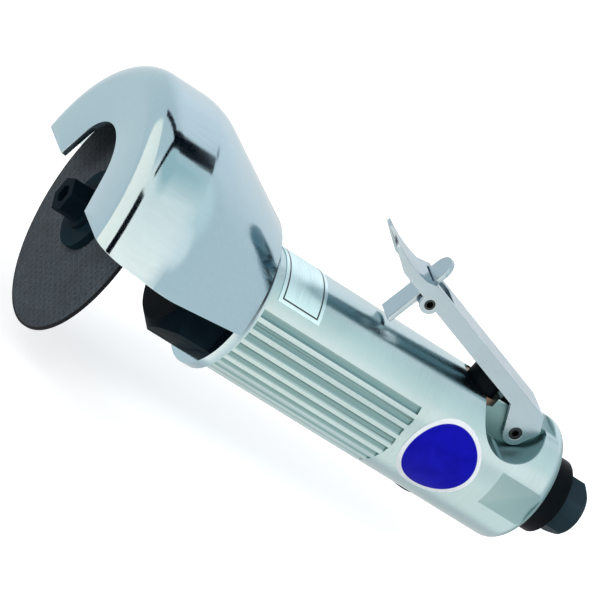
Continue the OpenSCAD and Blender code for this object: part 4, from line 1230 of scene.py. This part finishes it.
def bright_wall(tree, where, under):
    """Lays a tall bright wall over a colour, in front of the guard's rim, that fades upwards."""
    parts = axes(tree, where)
    side = ramp(tree, parts["X"], start=-0.430, end=-0.408)
    front = ramp(tree, parts["Y"], start=-0.05, end=0.12)
    lower = mixed(tree, ramp(tree, parts["Z"], start=0.05, end=0.74), WALL_FOOT, WALL_MIDDLE)
    whole = mixed(tree, ramp(tree, parts["Z"], start=0.77, end=0.92), lower, WALL_TOP)
    return mixed(tree, maths(tree, "MULTIPLY", side, front), under, whole)


def dark_streak(tree, where, under):
    """Lays a dark streak over a colour, where the top of the housing shows it beside the lever."""
    parts = axes(tree, where)
    along = between(tree, parts["X"], low=-0.476, high=-0.438, soft=0.004)
    across = between(tree, parts["Y"], low=-0.43, high=-0.27, soft=0.06)
    upward = ramp(tree, parts["Z"], start=0.3, end=0.4)
    share = maths(tree, "MULTIPLY", maths(tree, "MULTIPLY", along, across), upward)
    return mixed(tree, share, under, STREAK)


def background(tree, colour, strength=1.0):
    """Light of one colour from all round."""
    return add_node(tree, "ShaderNodeBackground", {"Color": colour, "Strength": strength}).outputs[0]


def set_world(scene):
    """A studio: plain light on the tool, soft glows in its gloss, and white where the camera sees it."""
    world = bpy.data.worlds.new("studio")
    scene.world = world
    world.use_nodes = True
    tree = world.node_tree
    tree.nodes.clear()
    where = add_node(tree, "ShaderNodeTexCoord").outputs["Generated"]
    gloss = GLOSS
    for glow in GLOWS:
        gloss = glow_towards(tree, where, gloss, *glow)
    gloss = dark_streak(tree, where, bright_wall(tree, where, gloss))
    rays = add_node(tree, "ShaderNodeLightPath").outputs
    fill = background(tree, FILL, FILL_STRENGTH)
    shine = background(tree, gloss)
    white = background(tree, WHITE)
    lit = add_node(tree, "ShaderNodeMixShader", {0: rays["Is Glossy Ray"], 1: fill, 2: shine})
    clear = maths(tree, "MAXIMUM", rays["Is Camera Ray"], rays["Is Transmission Ray"])
    seen = add_node(tree, "ShaderNodeMixShader", {0: clear, 1: lit.outputs[0], 2: white})
    add_node(tree, "ShaderNodeOutputWorld", {"Surface": seen.outputs[0]})


def add_lamp(name, place, width, height, power, tint):
    """A soft box that faces the tool, and that neither the camera nor gloss sees."""
    data = bpy.data.lights.new(name, "AREA")
    data.shape = "RECTANGLE"
    data.size = width
    data.size_y = height
    data.energy = power
    data.color = tint
    lamp = bpy.data.objects.new(name, data)
    bpy.context.scene.collection.objects.link(lamp)
    aim = (Vector(place) - LAMP_TARGET).to_track_quat("Z", "Y")
    lamp.matrix_world = Matrix.Translation(place) @ aim.to_matrix().to_4x4()
    lamp.visible_camera = lamp.visible_glossy = False


def add_card(name, start, end, width, low, high):
    """A flat card between two points that only gloss sees; its colour runs upwards from low to high."""
    start, end = Vector(start), Vector(end)
    along, middle = end - start, (start + end) / 2.0
    facing = (CARD_TARGET - middle) - (CARD_TARGET - middle).project(along)
    across = facing.cross(along).normalized() * width
    turn = placed_axes(along, across, facing.normalized(), middle)
    work = bmesh.new()
    bmesh.ops.create_grid(work, x_segments=1, y_segments=1, size=0.5, matrix=turn)
    card = loose_object(work, name)
    heights = [vert.co.z for vert in card.data.vertices]
    material = bare_material(name)
    tree = material.node_tree
    top = max(heights) + CARD_LEAST_RISE
    rise = ramp(tree, axes(tree, object_place(tree))["Z"], min(heights), top)
    glow = add_node(tree, "ShaderNodeEmission", {"Color": mixed(tree, rise, (*low, 1.0), (*high, 1.0))})
    add_node(tree, "ShaderNodeOutputMaterial", {"Surface": glow.outputs[0]})
    card.data.materials.append(material)
    card.visible_camera = card.visible_diffuse = card.visible_shadow = card.visible_transmission = False


class CUTOFF_OT_stage(bpy.types.Operator):
    """Set the camera, floor, world, lamps and cards"""

    bl_idname = "cutoff.stage"
    bl_label = "Stage"

    def execute(self, context):
        scene = context.scene
        scene.view_settings.view_transform = "Standard"
        set_camera(scene)
        set_floor()
        set_world(scene)
        for lamp in LAMPS:
            add_lamp(*lamp)
        for card in CARDS:
            add_card(*card)
        return {"FINISHED"}


class CUTOFF_PT_tool(bpy.types.Panel):
    """Sizes, colours and the steps that make the tool"""

    bl_idname = "CUTOFF_PT_tool"
    bl_label = "Cut Off Tool"
    bl_space_type = "VIEW_3D"
    bl_region_type = "UI"
    bl_category = "Cut Off Tool"

    def draw(self, context):
        """Lists the sizes, the colours and the steps."""
        layout = self.layout
        for group in (sizes(), colours()):
            box = layout.box()
            for label in group.__annotations__:
                box.prop(group, label)
        for step in STEPS:
            layout.operator(step.bl_idname)


# Steps in the order in which they run
STEPS = (
    CUTOFF_OT_finishes, CUTOFF_OT_housing, CUTOFF_OT_plates, CUTOFF_OT_guard, CUTOFF_OT_nut, CUTOFF_OT_wheel,
    CUTOFF_OT_lever, CUTOFF_OT_lock, CUTOFF_OT_valve, CUTOFF_OT_inlet, CUTOFF_OT_motor, CUTOFF_OT_stage,
)
CLASSES = (CutOffToolSizes, CutOffToolColours, *STEPS, CUTOFF_PT_tool)


def register():
    """Registers the classes and gives the scene its sizes and colours."""
    for made in CLASSES:
        bpy.utils.register_class(made)
    bpy.types.Scene.cut_off_tool_sizes = PointerProperty(type=CutOffToolSizes)
    bpy.types.Scene.cut_off_tool_colours = PointerProperty(type=CutOffToolColours)


def unregister():
    """Takes back what register did."""
    del bpy.types.Scene.cut_off_tool_colours
    del bpy.types.Scene.cut_off_tool_sizes
    for made in reversed(CLASSES):
        bpy.utils.unregister_class(made)


def main():
    """Makes the tool and its stage."""
    register()
    for step in STEPS:
        area, name = step.bl_idname.split(".")
        getattr(getattr(bpy.ops, area), name)()


if __name__ == "__main__":
    main()
